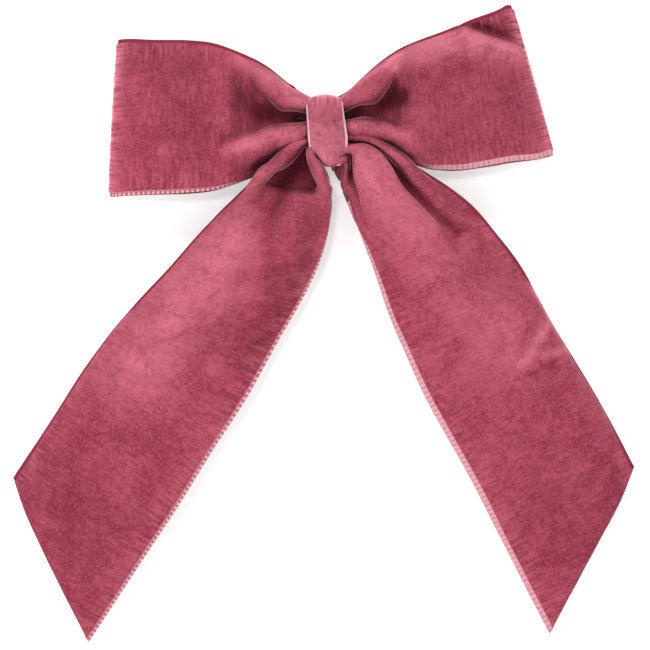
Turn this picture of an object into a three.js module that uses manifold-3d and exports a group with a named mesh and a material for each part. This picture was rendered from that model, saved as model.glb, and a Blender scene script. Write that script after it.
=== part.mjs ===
// A ribbon bow hair barrette: velvet loops and tails pinched under a knot wrap, bound to an
// 80 mm sprung hair clip. Millimetres. +X runs along the clip towards its latch, +Y from the bow
// towards the head, and +Z is up. The origin is the middle of the hair clamp.

import * as THREE from 'three';
import { mergeVertices } from 'three/addons/utils/BufferGeometryUtils.js';
import Module from 'manifold-3d';

const wasm = await Module();
wasm.setup();

// ---------------------------------------------------------------- driving dimensions
const GAP = 0.3; // clearance between touching pieces

// clip plate: a curved steel strip
const PLATE_HALF_LENGTH = 40;
const PLATE_HEIGHT = 8.5;
const PLATE_THICKNESS = 0.8;
const PLATE_RADIUS = 110; // of its front face
const PLATE_FRONT_Y = -4.3; // front face at the middle
const PLATE_END_HOLE_X = 30;
const PLATE_END_HOLE_RADIUS = 1;

// hinge
const PIN_X = -37.6;
const PIN_Y = 6.67;
const PIN_RADIUS = 0.6;
const PIN_HEAD_RADIUS = 1.2;
const PIN_HEAD_THICKNESS = 0.5;
const LUG_RADIUS = 2;
const LUG_THICKNESS = 0.8;
const BARREL_RADIUS = 1.7;

// arm: the bar that closes on the hair
const ARM_FRONT_Y = 3.4;
const ARM_RADIUS = 450;
const ARM_THICKNESS = 0.8;
const ARM_WIDTH = 5.2;
const ARM_PAD_WIDTH = 8.8;
const ARM_PAD_START_X = 31;
const ARM_END_X = 42;
const ARM_FLAT_HALF_LENGTH = 8; // straight stretch at the middle of the bar

// latch
const LATCH_X = 36.2;
const WINDOW_HALF_LENGTH = 2.9;
const WINDOW_HALF_WIDTH = 3.1;
const SADDLE_HALF_LENGTH = 2.6;
const SADDLE_THICKNESS = 0.5;
const SADDLE_WIDTH = 3.4;
const PRONG_HALF_LENGTH = 2;
const PRONG_THICKNESS = 0.5;
const PRONG_INNER_Z = 2.1;
const PRONG_TIP_Y = 9.5;
const BARB_Y = 6.2;
const BARB_REACH = 1.15;
const LATCH_RIVET_OFFSET = 1.3;

// tension spring
const SPRING_START = new THREE.Vector2(-33.5, 2.1);
const SPRING_END = new THREE.Vector2(24, 3.1);
const SPRING_THICKNESS = 0.35;
const SPRING_WIDTH = 4;
const SPRING_RIVET_X = -31;
const SPRING_CURL = 1.6;

// rivets
const RIVET_SHANK_RADIUS = 0.6;
const RIVET_HEAD_RADIUS = 1.2;
const RIVET_HEAD_THICKNESS = 0.35;

// knot wrap: a narrow ribbon round the pinched bow and the plate
const WRAP_WIDTH = 14.2;
const WRAP_THICKNESS = 0.6;
const WRAP_FRONT_Y = -17;
const WRAP_BACK_Y = -2.35;
const WRAP_TOP_Z = 10.8;
const WRAP_BOTTOM_Z = -11.8;
const WRAP_SHOULDER_Y = -5.8; // where the ring starts to taper to the plate
const WRAP_CORNER = 2.4;
const WRAP_BACK_HALF_HEIGHT = 5.3;

// pinched middles of the two ribbons
const CORE_FRONT_Y = -15;
const CORE_BACK_Y = -7.2;
const LOOP_CORE_TOP_Z = 8.7;
const LOOP_CORE_BOTTOM_Z = -2;
const TAIL_CORE_TOP_Z = -4.6;
const TAIL_CORE_BOTTOM_Z = -9.2;
const THREAD_WIDTH = 3;
const THREAD_THICKNESS = 0.8;

// loops and tails
const LOOP_BACK_OFFSET = 1.9; // from the plate's front face to the back of the loops
const TAIL_BACK_Y = -10.3;
const TAIL_FRONT_Y = -13.3;
const TAIL_NECK_BACK_Y = -7.4;
const TAIL_NECK_FRONT_Y = -15.6;
const TAIL_NECK_END_Z = -48;

// pieces between the bow and the plate
const FELT_HALF_WIDTH = 6.5;
const FELT_HALF_HEIGHT = 4.2;
const FELT_THICKNESS = 1;
const FELT_CORNER = 1;
const GLUE_INNER_X = 11;
const GLUE_LENGTH = 16;
const GLUE_HALF_HEIGHT = 3;
const GLUE_CORNER = 2.4;

// loose end of the wrap ribbon below the knot
const WRAP_END_LEFT_X = 1.3;
const WRAP_END_RIGHT_X = 8.6;
const WRAP_END_SLANT = 1.9;
const WRAP_END_BOTTOM_Z = -17.4;
const WRAP_END_FRONT_Y = -6.9;
const WRAP_END_THICKNESS = 0.7;

const FAR = 200; // longer than any piece

// ---------------------------------------------------------------- materials
function finish(color, roughness, metalness) {
  return new THREE.MeshStandardMaterial({ color, roughness, metalness });
}

const velvet = () => finish(0xb35069, 0.95, 0);
const ribbonBack = () => finish(0x6c3839, 0.9, 0);
const thread = () => finish(0x9c4257, 0.85, 0);
const felt = () => finish(0xa24a60, 1, 0);
const glue = () => finish(0xe6dfc8, 0.45, 0);
const platedSteel = () => finish(0xc9cace, 0.28, 1);
const springSteel = () => finish(0xb2b4b8, 0.35, 1);

// ---------------------------------------------------------------- solid helpers
/** Turn a closed three.js geometry into a solid that can be joined and cut. */
function toSolid(geometry) {
  const bare = geometry.index ? geometry.toNonIndexed() : geometry.clone();
  bare.deleteAttribute('normal');
  bare.deleteAttribute('uv');
  const merged = mergeVertices(bare, 1e-4);
  const mesh = new wasm.Mesh({
    numProp: 3,
    vertProperties: new Float32Array(merged.attributes.position.array),
    triVerts: new Uint32Array(merged.index.array),
  });
  return new wasm.Manifold(mesh);
}

/** Turn a solid back into a three.js geometry. */
function toGeometry(solid) {
  const mesh = solid.getMesh();
  const geometry = new THREE.BufferGeometry();
  geometry.setAttribute('position', new THREE.BufferAttribute(mesh.vertProperties, 3));
  geometry.setIndex(new THREE.BufferAttribute(mesh.triVerts, 1));
  geometry.computeVertexNormals();
  return geometry;
}

function extrude(shape, depth, curveSegments) {
  return new THREE.ExtrudeGeometry(shape, { depth, bevelEnabled: false, curveSegments });
}

/** Prism of an (x, y) outline between two heights. */
function topPrism(shape, lowZ, highZ, curveSegments = 12) {
  return toSolid(extrude(shape, highZ - lowZ, curveSegments).translate(0, 0, lowZ));
}

/** Prism of an (x, z) outline between two depths. */
function frontPrism(shape, frontY, backY, curveSegments = 12) {
  const geometry = extrude(shape, backY - frontY, curveSegments);
  return toSolid(geometry.rotateX(Math.PI / 2).translate(0, backY, 0));
}

/** Prism of a (y, z) outline between two places along X. */
function sidePrism(shape, lowX, highX, curveSegments = 12) {
  const turn = new THREE.Matrix4().makeBasis(
    new THREE.Vector3(0, 1, 0),
    new THREE.Vector3(0, 0, 1),
    new THREE.Vector3(1, 0, 0),
  );
  const geometry = extrude(shape, highX - lowX, curveSegments);
  return toSolid(geometry.applyMatrix4(turn).translate(lowX, 0, 0));
}

function block(lowX, highX, lowY, highY, lowZ, highZ) {
  const geometry = new THREE.BoxGeometry(highX - lowX, highY - lowY, highZ - lowZ);
  return toSolid(
    geometry.translate((lowX + highX) / 2, (lowY + highY) / 2, (lowZ + highZ) / 2),
  );
}

/** Upright cylinder along Z, centred on z = 0. */
function post(x, y, radius, height) {
  const geometry = new THREE.CylinderGeometry(radius, radius, height, 16);
  return toSolid(geometry.rotateX(Math.PI / 2).translate(x, y, 0));
}

/** Cylinder along Y through a point of the XZ plane. */
function bore(x, z, radius, lowY, highY) {
  const geometry = new THREE.CylinderGeometry(radius, radius, highY - lowY, 16);
  return toSolid(geometry.translate(x, (lowY + highY) / 2, z));
}

function polygon(points) {
  return new THREE.Shape(points.map(([a, b]) => new THREE.Vector2(a, b)));
}

function roundedRectangle(left, right, bottom, top, radius) {
  const shape = new THREE.Shape();
  shape.moveTo(left + radius, bottom);
  shape.lineTo(right - radius, bottom);
  shape.absarc(right - radius, bottom + radius, radius, -Math.PI / 2, 0);
  shape.lineTo(right, top - radius);
  shape.absarc(right - radius, top - radius, radius, 0, Math.PI / 2);
  shape.lineTo(left + radius, top);
  shape.absarc(left + radius, top - radius, radius, Math.PI / 2, Math.PI);
  shape.lineTo(left, bottom + radius);
  shape.absarc(left + radius, bottom + radius, radius, Math.PI, 1.5 * Math.PI);
  return shape;
}

function vectors(points) {
  return points.map(([a, b]) => new THREE.Vector2(a, b));
}

function piece(name, solid, material) {
  const mesh = new THREE.Mesh(toGeometry(solid), material);
  mesh.name = name;
  return mesh;
}

// ---------------------------------------------------------------- clip curves
/** How far a circle has risen at a distance x from its lowest point. */
function rise(x, radius) {
  return radius - Math.sqrt(radius * radius - x * x);
}

const plateFrontY = (x) => PLATE_FRONT_Y + rise(x, PLATE_RADIUS);
const plateBackY = (x) => plateFrontY(x) + PLATE_THICKNESS;

/** Y of the arm's front face: straight in the middle and gently curved beyond. */
function armFrontY(x) {
  const beyond = Math.max(0, Math.abs(x) - ARM_FLAT_HALF_LENGTH);
  return ARM_FRONT_Y + rise(beyond, ARM_RADIUS) + (beyond * ARM_FLAT_HALF_LENGTH) / ARM_RADIUS;
}

/** Closed (x, y) band between a curve and the same curve moved back by a thickness. */
function band(curve, startX, endX, thickness, steps) {
  const front = [];
  const back = [];
  for (let i = 0; i <= steps; i += 1) {
    const x = startX + ((endX - startX) * i) / steps;
    front.push([x, curve(x)]);
    back.unshift([x, curve(x) + thickness]);
  }
  return polygon([...front, ...back]);
}

// ---------------------------------------------------------------- clip
function hingeLug(sign) {
  const shape = new THREE.Shape();
  const inner = PIN_X + LUG_RADIUS;
  const outer = PIN_X - LUG_RADIUS;
  const root = PLATE_THICKNESS / 2;
  shape.moveTo(outer, plateFrontY(outer) + root);
  shape.lineTo(inner, plateFrontY(inner) + root);
  shape.lineTo(inner, PIN_Y);
  shape.absarc(PIN_X, PIN_Y, LUG_RADIUS, 0, Math.PI);
  const outside = (sign * PLATE_HEIGHT) / 2;
  const inside = outside - sign * LUG_THICKNESS;
  return topPrism(shape, Math.min(inside, outside), Math.max(inside, outside), 8);
}

function clipPlate() {
  const height = PLATE_HEIGHT / 2;
  const strip = band(plateFrontY, -PLATE_HALF_LENGTH, PLATE_HALF_LENGTH, PLATE_THICKNESS, 24);
  const outline = roundedRectangle(
    -PLATE_HALF_LENGTH,
    PLATE_HALF_LENGTH,
    -height,
    height,
    1.2,
  );
  let solid = topPrism(strip, -height, height).intersect(frontPrism(outline, -20, 20, 4));
  solid = solid.add(hingeLug(1)).add(hingeLug(-1));
  solid = solid.subtract(post(PIN_X, PIN_Y, PIN_RADIUS + GAP, FAR));
  const rivetHoles = [SPRING_RIVET_X, LATCH_X - LATCH_RIVET_OFFSET, LATCH_X + LATCH_RIVET_OFFSET];
  for (const x of rivetHoles) {
    solid = solid.subtract(bore(x, 0, RIVET_SHANK_RADIUS + GAP, -20, 20));
  }
  return solid.subtract(bore(PLATE_END_HOLE_X, 0, PLATE_END_HOLE_RADIUS, -20, 20));
}

/** Headed pin or rivet: a lathe profile of shank and two heads, along Y from its front end. */
function headedPin(shankRadius, headRadius, headThickness, length) {
  const inner = length - headThickness;
  const profile = vectors([
    [0, 0],
    [headRadius, 0],
    [headRadius, headThickness],
    [shankRadius, headThickness],
    [shankRadius, inner],
    [headRadius, inner],
    [headRadius, length],
    [0, length],
  ]);
  return new THREE.LatheGeometry(profile, 16);
}

function hingePin() {
  const length = PLATE_HEIGHT + 2 * (GAP + PIN_HEAD_THICKNESS);
  const geometry = headedPin(PIN_RADIUS, PIN_HEAD_RADIUS, PIN_HEAD_THICKNESS, length);
  return toSolid(geometry.rotateX(Math.PI / 2).translate(PIN_X, PIN_Y, -length / 2));
}

function rivet(x, frontY, backY) {
  const geometry = headedPin(
    RIVET_SHANK_RADIUS,
    RIVET_HEAD_RADIUS,
    RIVET_HEAD_THICKNESS,
    backY - frontY,
  );
  return toSolid(geometry.translate(x, frontY, 0));
}

/** Rivet whose heads clear the sloping plate in front and another surface behind. */
function rivetThrough(x, backSurfaceY) {
  const nearEdge = Math.abs(x) - RIVET_HEAD_RADIUS;
  const frontY = plateFrontY(nearEdge) - GAP - RIVET_HEAD_THICKNESS;
  return rivet(x, frontY, backSurfaceY + GAP + RIVET_HEAD_THICKNESS);
}

function clipArm() {
  const half = ARM_WIDTH / 2;
  const padHalf = ARM_PAD_WIDTH / 2;
  const strip = band(armFrontY, PIN_X, ARM_END_X, ARM_THICKNESS, 20);
  const outline = new THREE.Shape();
  outline.moveTo(PIN_X - 1, -half);
  outline.lineTo(ARM_PAD_START_X - 3, -half);
  outline.quadraticCurveTo(ARM_PAD_START_X - 1, -half, ARM_PAD_START_X, -padHalf);
  outline.lineTo(ARM_END_X - 2.5, -padHalf);
  outline.quadraticCurveTo(ARM_END_X, -padHalf, ARM_END_X, 0);
  outline.quadraticCurveTo(ARM_END_X, padHalf, ARM_END_X - 2.5, padHalf);
  outline.lineTo(ARM_PAD_START_X, padHalf);
  outline.quadraticCurveTo(ARM_PAD_START_X - 1, half, ARM_PAD_START_X - 3, half);
  outline.lineTo(PIN_X - 1, half);
  let solid = topPrism(strip, -padHalf, padHalf).intersect(frontPrism(outline, -20, 20, 6));
  solid = solid.add(post(PIN_X, PIN_Y, BARREL_RADIUS, ARM_WIDTH));
  solid = solid.subtract(post(PIN_X, PIN_Y, PIN_RADIUS + GAP, FAR));
  const window = block(
    LATCH_X - WINDOW_HALF_LENGTH,
    LATCH_X + WINDOW_HALF_LENGTH,
    -20,
    20,
    -WINDOW_HALF_WIDTH,
    WINDOW_HALF_WIDTH,
  );
  return solid.subtract(window);
}

function tensionSpring() {
  const { x: startX, y: startY } = SPRING_START;
  const { x: endX, y: endY } = SPRING_END;
  const shape = new THREE.Shape();
  shape.moveTo(startX, startY);
  shape.lineTo(endX, endY);
  shape.quadraticCurveTo(endX + SPRING_CURL, endY, endX + SPRING_CURL, endY - SPRING_CURL / 2);
  shape.lineTo(endX + SPRING_CURL + SPRING_THICKNESS, endY - SPRING_CURL / 2);
  shape.quadraticCurveTo(
    endX + SPRING_CURL + SPRING_THICKNESS,
    endY + SPRING_THICKNESS,
    endX,
    endY + SPRING_THICKNESS,
  );
  shape.lineTo(startX, startY + SPRING_THICKNESS);
  const half = SPRING_WIDTH / 2;
  const strip = topPrism(shape, -half, half, 4);
  return strip.subtract(bore(SPRING_RIVET_X, 0, RIVET_SHANK_RADIUS + GAP, -20, 20));
}

function springSurfaceY(x) {
  const share = (x - SPRING_START.x) / (SPRING_END.x - SPRING_START.x);
  return SPRING_START.y + share * (SPRING_END.y - SPRING_START.y) + SPRING_THICKNESS;
}

function latchSaddle() {
  const curve = (x) => plateBackY(x) + GAP;
  const start = LATCH_X - SADDLE_HALF_LENGTH;
  const end = LATCH_X + SADDLE_HALF_LENGTH;
  let solid = topPrism(
    band(curve, start, end, SADDLE_THICKNESS, 4),
    -SADDLE_WIDTH / 2,
    SADDLE_WIDTH / 2,
  );
  for (const offset of [-LATCH_RIVET_OFFSET, LATCH_RIVET_OFFSET]) {
    solid = solid.subtract(bore(LATCH_X + offset, 0, RIVET_SHANK_RADIUS + GAP, -20, 20));
  }
  return solid;
}

/** Sprung prong: a leg that passes the arm's window, a barb over its edge and a finger tip. */
function latchProng(sign) {
  const inner = PRONG_INNER_Z;
  const outer = inner + PRONG_THICKNESS;
  const profile = polygon([
    [plateBackY(LATCH_X - PRONG_HALF_LENGTH), sign * inner],
    [plateBackY(LATCH_X - PRONG_HALF_LENGTH), sign * outer],
    [BARB_Y, sign * outer],
    [BARB_Y, sign * (outer + BARB_REACH)],
    [BARB_Y + 1.3, sign * (outer + 0.1)],
    [PRONG_TIP_Y - 0.3, sign * (outer + 0.3)],
    [PRONG_TIP_Y, sign * (inner + 0.3)],
    [BARB_Y + 1.3, sign * inner],
  ]);
  const start = LATCH_X - PRONG_HALF_LENGTH;
  const end = LATCH_X + PRONG_HALF_LENGTH;
  const aboveSlope = polygon([
    [start - 1, plateBackY(start - 1) + GAP],
    [end + 1, plateBackY(end + 1) + GAP],
    [end + 1, PRONG_TIP_Y + 1],
    [start - 1, PRONG_TIP_Y + 1],
  ]);
  return sidePrism(profile, start, end).intersect(topPrism(aboveSlope, -10, 10));
}

// ---------------------------------------------------------------- bow
/** (y, z) outline of the knot wrap, drawn in by an inset. */
function wrapOutline(inset) {
  const front = WRAP_FRONT_Y + inset;
  const back = WRAP_BACK_Y - inset;
  const top = WRAP_TOP_Z - inset;
  const bottom = WRAP_BOTTOM_Z + inset;
  const corner = WRAP_CORNER - inset;
  const backHalf = WRAP_BACK_HALF_HEIGHT - inset;
  const shape = new THREE.Shape();
  shape.moveTo(back, -backHalf);
  shape.lineTo(back, backHalf);
  shape.lineTo(WRAP_SHOULDER_Y, top);
  shape.lineTo(front + corner, top);
  shape.quadraticCurveTo(front, top, front, top - corner);
  shape.lineTo(front, bottom + corner);
  shape.quadraticCurveTo(front, bottom, front + corner, bottom);
  shape.lineTo(WRAP_SHOULDER_Y, bottom);
  return shape;
}

function knotWrap() {
  const half = WRAP_WIDTH / 2;
  const outside = sidePrism(wrapOutline(0), -half, half, 5);
  return outside.subtract(sidePrism(wrapOutline(WRAP_THICKNESS), -half - 1, half + 1, 5));
}

/** Loose end of the wrap ribbon, showing its dull side below the knot. */
function knotWrapEnd() {
  const top = WRAP_BOTTOM_Z - GAP;
  const outline = polygon([
    [WRAP_END_LEFT_X, top],
    [WRAP_END_RIGHT_X, top],
    [WRAP_END_RIGHT_X, WRAP_END_BOTTOM_Z],
    [WRAP_END_LEFT_X + WRAP_END_SLANT, WRAP_END_BOTTOM_Z],
  ]);
  return frontPrism(outline, WRAP_END_FRONT_Y, WRAP_END_FRONT_Y + WRAP_END_THICKNESS);
}

function core(topZ, bottomZ) {
  const outline = roundedRectangle(CORE_FRONT_Y, CORE_BACK_Y, bottomZ, topZ, 1.5);
  const reach = WRAP_WIDTH / 2 + 2;
  return sidePrism(outline, -reach, reach, 4);
}

/** Turns of thread pulled tight round a pinched ribbon, as one band. */
function threadBand(topZ, bottomZ) {
  const ring = (offset) =>
    roundedRectangle(
      CORE_FRONT_Y - offset,
      CORE_BACK_Y + offset,
      bottomZ - offset,
      topZ + offset,
      1.5 + offset,
    );
  const half = THREAD_WIDTH / 2;
  const outside = sidePrism(ring(GAP + THREAD_THICKNESS), -half, half, 4);
  return outside.subtract(sidePrism(ring(GAP), -half - 1, half + 1, 4));
}

/** Left loop seen from the front, down to the edge of the tail that lies over it. */
function leftLoopFront() {
  const shape = new THREE.Shape();
  shape.moveTo(-7.4, -2.4);
  shape.lineTo(-7.4, 11.2);
  shape.splineThru(vectors([[-18.1, 19.4], [-30, 25.4], [-46, 29], [-66.8, 29.8]]));
  shape.lineTo(-71.1, -20.3);
  shape.lineTo(-69.4, -21.9);
  shape.splineThru(vectors([[-50, -21.2], [-39, -20.3], [-25.9, -16.8]]));
  shape.lineTo(-18.9, -9.3);
  shape.lineTo(-14.2, -5.1);
  return shape;
}

/** Right loop seen from the front; its outer end is pulled higher than the left one. */
function rightLoopFront() {
  const shape = new THREE.Shape();
  shape.moveTo(7.4, -2);
  shape.lineTo(13.1, -2.6);
  shape.lineTo(22.4, -7.8);
  shape.lineTo(30.6, -12.6);
  shape.splineThru(vectors([[38.4, -13.7], [52.3, -11.9], [72.9, -8.1]]));
  shape.lineTo(73.9, -7.1);
  shape.splineThru(vectors([[72.9, 0.3], [70.2, 14.5], [67.4, 26.3], [60.6, 40.3]]));
  shape.lineTo(59, 40.6);
  shape.splineThru(vectors([[44.2, 34.5], [32.3, 29], [22.3, 25.2], [15.8, 20.6], [7.4, 12]]));
  return shape;
}

/** Lens of one loop seen from above: puffed in the middle, folded round at its outer end. */
function loopTop(sign, foldX) {
  const back = (x) => plateFrontY(x) - LOOP_BACK_OFFSET;
  const shape = new THREE.Shape();
  shape.moveTo(sign * 7.4, CORE_FRONT_Y + 0.4);
  shape.splineThru(
    vectors([
      [sign * 18, -15.8],
      [sign * 34, -14],
      [sign * 52, -9.8],
      [sign * (foldX - 3), -5],
      [sign * foldX, -1.6],
      [sign * (foldX - 3), 1.6],
    ]),
  );
  shape.splineThru(
    vectors([
      [sign * 52, 3.4],
      [sign * 38, back(38)],
      [sign * 26, back(26)],
      [sign * 14, back(14)],
      [sign * 7.4, CORE_BACK_Y],
    ]),
  );
  return shape;
}

function loopRibbon() {
  const left = topPrism(loopTop(-1, 71.2), -60, 60, 3);
  const right = topPrism(loopTop(1, 74), -60, 60, 3);
  return core(LOOP_CORE_TOP_Z, LOOP_CORE_BOTTOM_Z)
    .add(left.intersect(frontPrism(leftLoopFront(), -40, 40, 3)))
    .add(right.intersect(frontPrism(rightLoopFront(), -40, 40, 3)));
}

/** Left tail seen from the front, to its slanted cut end. */
function leftTailFront() {
  const shape = new THREE.Shape();
  shape.moveTo(-6, -3.4);
  shape.lineTo(-13.9, -5.8);
  shape.splineThru(vectors([[-18.4, -10], [-25.2, -17.6], [-38.4, -31], [-67.7, -63.1]]));
  shape.splineThru(vectors([[-79, -77.7], [-89.4, -93.9], [-101.3, -113.2]]));
  shape.lineTo(-77.1, -166.5);
  shape.lineTo(-75.5, -165.5);
  shape.splineThru(vectors([[-26.1, -87.7], [-18.1, -72.3], [-11, -59.7], [-1.9, -41.9]]));
  shape.splineThru(vectors([[1.3, -30], [1.6, -21], [-0.6, -12]]));
  return shape;
}

/** Right tail seen from the front, to its slanted cut end. */
function rightTailFront() {
  const shape = new THREE.Shape();
  shape.moveTo(5.2, -12);
  shape.splineThru(vectors([[5.2, -17.1], [12.9, -38.7], [19.4, -58.4], [27.4, -78.1]]));
  shape.splineThru(vectors([[41.8, -104.8], [53.6, -125.2], [66.8, -150.3], [71.9, -163.6]]));
  shape.lineTo(99, -109.4);
  shape.splineThru(vectors([[91.9, -93.9], [80, -73.6], [68.1, -53.2], [54.8, -33.6]]));
  shape.splineThru(vectors([[40.3, -19.7], [30.6, -13.5], [22.4, -8.8], [13.1, -3.5]]));
  shape.lineTo(5.2, -3.2);
  return shape;
}

/** Tails seen from the side: deep pleats at the knot, flattening out below it. */
function tailSide() {
  const shape = new THREE.Shape();
  shape.moveTo(TAIL_NECK_BACK_Y, 0);
  shape.lineTo(TAIL_NECK_FRONT_Y, 0);
  shape.lineTo(TAIL_NECK_FRONT_Y, WRAP_BOTTOM_Z - 6);
  shape.lineTo(TAIL_FRONT_Y, TAIL_NECK_END_Z);
  shape.lineTo(TAIL_FRONT_Y, -FAR);
  shape.lineTo(TAIL_BACK_Y, -FAR);
  shape.lineTo(TAIL_BACK_Y, TAIL_NECK_END_Z);
  shape.lineTo(TAIL_NECK_BACK_Y, WRAP_BOTTOM_Z - 6);
  return shape;
}

function tailRibbon() {
  const outline = frontPrism(leftTailFront(), -40, 40, 3).add(
    frontPrism(rightTailFront(), -40, 40, 3),
  );
  const half = WRAP_WIDTH / 2 + GAP;
  const knotSpace = block(-half, half, -40, 40, WRAP_BOTTOM_Z - GAP, 20);
  const hanging = outline.intersect(sidePrism(tailSide(), -FAR, FAR)).subtract(knotSpace);
  return hanging.add(core(TAIL_CORE_TOP_Z, TAIL_CORE_BOTTOM_Z));
}

function feltPad() {
  const outline = roundedRectangle(
    -FELT_HALF_WIDTH,
    FELT_HALF_WIDTH,
    -FELT_HALF_HEIGHT,
    FELT_HALF_HEIGHT,
    FELT_CORNER,
  );
  const backY = PLATE_FRONT_Y - GAP;
  return frontPrism(outline, backY - FELT_THICKNESS, backY, 4);
}

/** Bead of glue between the plate and the back of a loop. */
function glueStrip(sign) {
  const thickness = LOOP_BACK_OFFSET - 3 * GAP;
  const curve = (x) => plateFrontY(x) - GAP - thickness;
  const half = GLUE_HALF_HEIGHT;
  const startX = sign > 0 ? GLUE_INNER_X : -GLUE_INNER_X - GLUE_LENGTH;
  const endX = startX + GLUE_LENGTH;
  const strip = topPrism(band(curve, startX, endX, thickness, 6), -half, half);
  const outline = roundedRectangle(startX, endX, -half, half, GLUE_CORNER);
  return strip.intersect(frontPrism(outline, -FAR, FAR, 4));
}

// ---------------------------------------------------------------- assembly
const barrette = new THREE.Group();
barrette.add(
  piece('loop_ribbon', loopRibbon(), velvet()),
  piece('tail_ribbon', tailRibbon(), velvet()),
  piece('knot_wrap', knotWrap(), velvet()),
  piece('knot_wrap_end', knotWrapEnd(), ribbonBack()),
  piece('loop_thread', threadBand(LOOP_CORE_TOP_Z, LOOP_CORE_BOTTOM_Z), thread()),
  piece('tail_thread', threadBand(TAIL_CORE_TOP_Z, TAIL_CORE_BOTTOM_Z), thread()),
  piece('felt_pad', feltPad(), felt()),
  piece('glue_strip_left', glueStrip(-1), glue()),
  piece('glue_strip_right', glueStrip(1), glue()),
  piece('clip_plate', clipPlate(), platedSteel()),
  piece('hinge_pin', hingePin(), platedSteel()),
  piece('clip_arm', clipArm(), platedSteel()),
  piece('tension_spring', tensionSpring(), springSteel()),
  piece('spring_rivet', rivetThrough(SPRING_RIVET_X, springSurfaceY(SPRING_RIVET_X)), platedSteel()),
  piece('latch_saddle', latchSaddle(), springSteel()),
  piece('latch_prong_upper', latchProng(1), springSteel()),
  piece('latch_prong_lower', latchProng(-1), springSteel()),
);
for (const [name, offset] of [
  ['latch_rivet_inner', -LATCH_RIVET_OFFSET],
  ['latch_rivet_outer', LATCH_RIVET_OFFSET],
]) {
  const x = LATCH_X + offset;
  const saddleBackY = plateBackY(x + RIVET_HEAD_RADIUS) + GAP + SADDLE_THICKNESS;
  barrette.add(piece(name, rivetThrough(x, saddleBackY), platedSteel()));
}

export default barrette;
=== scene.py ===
import logging
import math
from dataclasses import dataclass, field, replace
from enum import Enum
from typing import ClassVar, Sequence

import bmesh
import bpy
import numpy as np
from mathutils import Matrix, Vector

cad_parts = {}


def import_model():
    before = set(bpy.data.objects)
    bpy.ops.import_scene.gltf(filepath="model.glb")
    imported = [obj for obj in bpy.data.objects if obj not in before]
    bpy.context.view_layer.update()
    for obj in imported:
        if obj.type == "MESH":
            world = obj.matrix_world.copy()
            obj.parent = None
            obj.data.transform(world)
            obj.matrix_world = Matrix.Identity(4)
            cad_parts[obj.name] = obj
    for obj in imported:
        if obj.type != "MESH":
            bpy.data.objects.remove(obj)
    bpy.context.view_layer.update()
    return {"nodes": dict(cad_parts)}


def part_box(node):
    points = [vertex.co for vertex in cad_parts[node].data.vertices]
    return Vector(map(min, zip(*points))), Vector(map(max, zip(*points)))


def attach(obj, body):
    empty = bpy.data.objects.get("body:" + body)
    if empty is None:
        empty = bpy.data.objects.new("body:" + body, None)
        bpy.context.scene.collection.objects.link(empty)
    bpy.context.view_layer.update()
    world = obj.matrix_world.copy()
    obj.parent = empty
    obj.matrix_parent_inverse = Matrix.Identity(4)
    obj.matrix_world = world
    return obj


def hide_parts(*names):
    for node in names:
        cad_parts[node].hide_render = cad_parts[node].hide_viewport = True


log = logging.getLogger("bow_barrette")
MM = 0.001
RIBBON_WIDTH = 51.8 * MM
Point = tuple[float, float, float]
Spot = tuple[float, float]
Colour = tuple[float, float, float, float]


class Body(Enum):
    """The body that the pieces made here ride on; the clip's solids keep their own."""

    BOW = "bow_and_plate"


class Slot(Enum):
    """The record's material slots for the pieces made here."""

    VELVET = "velvet_ribbon"
    BACK = "ribbon_back"
    THREAD = "sewing_thread"
    FELT = "felt"
    GLUE = "hot_glue"


def rgb(red: float, green: float, blue: float) -> Colour:
    """A colour with full cover."""
    return (red, green, blue, 1.0)


# ---------------------------------------------------------------- ribbon shape


@dataclass(frozen=True)
class Pleat:
    """One valley folded along the ribbon, in millimetres across its flat width."""

    at: float
    floor: float
    fall: float = 1.0
    rise: float = 1.0
    wall: float = 4.0


@dataclass(frozen=True)
class Tuck:
    """How an edge of the ribbon rolls back behind its neighbour, in millimetres."""

    turn: float = 1.0
    reach: float = 5.0
    tight: ClassVar[Spot] = (4.0, 6.6)
    wall_share: ClassVar[float] = 0.8
    leaning_place: ClassVar[float] = 1.5

    @property
    def place(self) -> float:
        """Distance of the turn from the selvedge: a tight tuck has a whole wall, a broad one only leans."""
        if self.tight[0] <= self.reach <= self.tight[1]:
            return self.wall_share * self.reach
        return self.leaning_place


IDLE_PLEATS = (Pleat(24.0, 8.0, 0.0, 0.0), Pleat(38.0, 3.0, 0.0, 0.0), *[Pleat(25.0, 3.0, 0.0, 0.0)] * 5)


@dataclass(frozen=True)
class Station:
    """One cross-section of a ribbon: its two selvedges, which way the pile faces, and its folds.

    Points are in millimetres at the height of the section's highest ridge.
    """

    first: Point
    last: Point
    out: Point
    tucks: tuple[Tuck, Tuck] = (Tuck(1.0, 3.2), Tuck(0.15, 9.0))
    pleats: tuple[Pleat, ...] = ()

    def numbers(self) -> np.ndarray:
        """All of the station's sizes in one row, for blending with its neighbours."""
        start, end = self.tucks
        bends = [start.place, start.turn, start.reach]
        for pleat in [*self.pleats, *IDLE_PLEATS[len(self.pleats):]]:
            bends += [pleat.at - pleat.floor, -pleat.fall, pleat.wall]
            bends += [pleat.at + pleat.floor, pleat.rise, pleat.wall]
        bends += [RIBBON_WIDTH / MM - end.place, -end.turn, end.reach]
        return np.array([*self.first, *self.last, *self.out, *bends], float)


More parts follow.
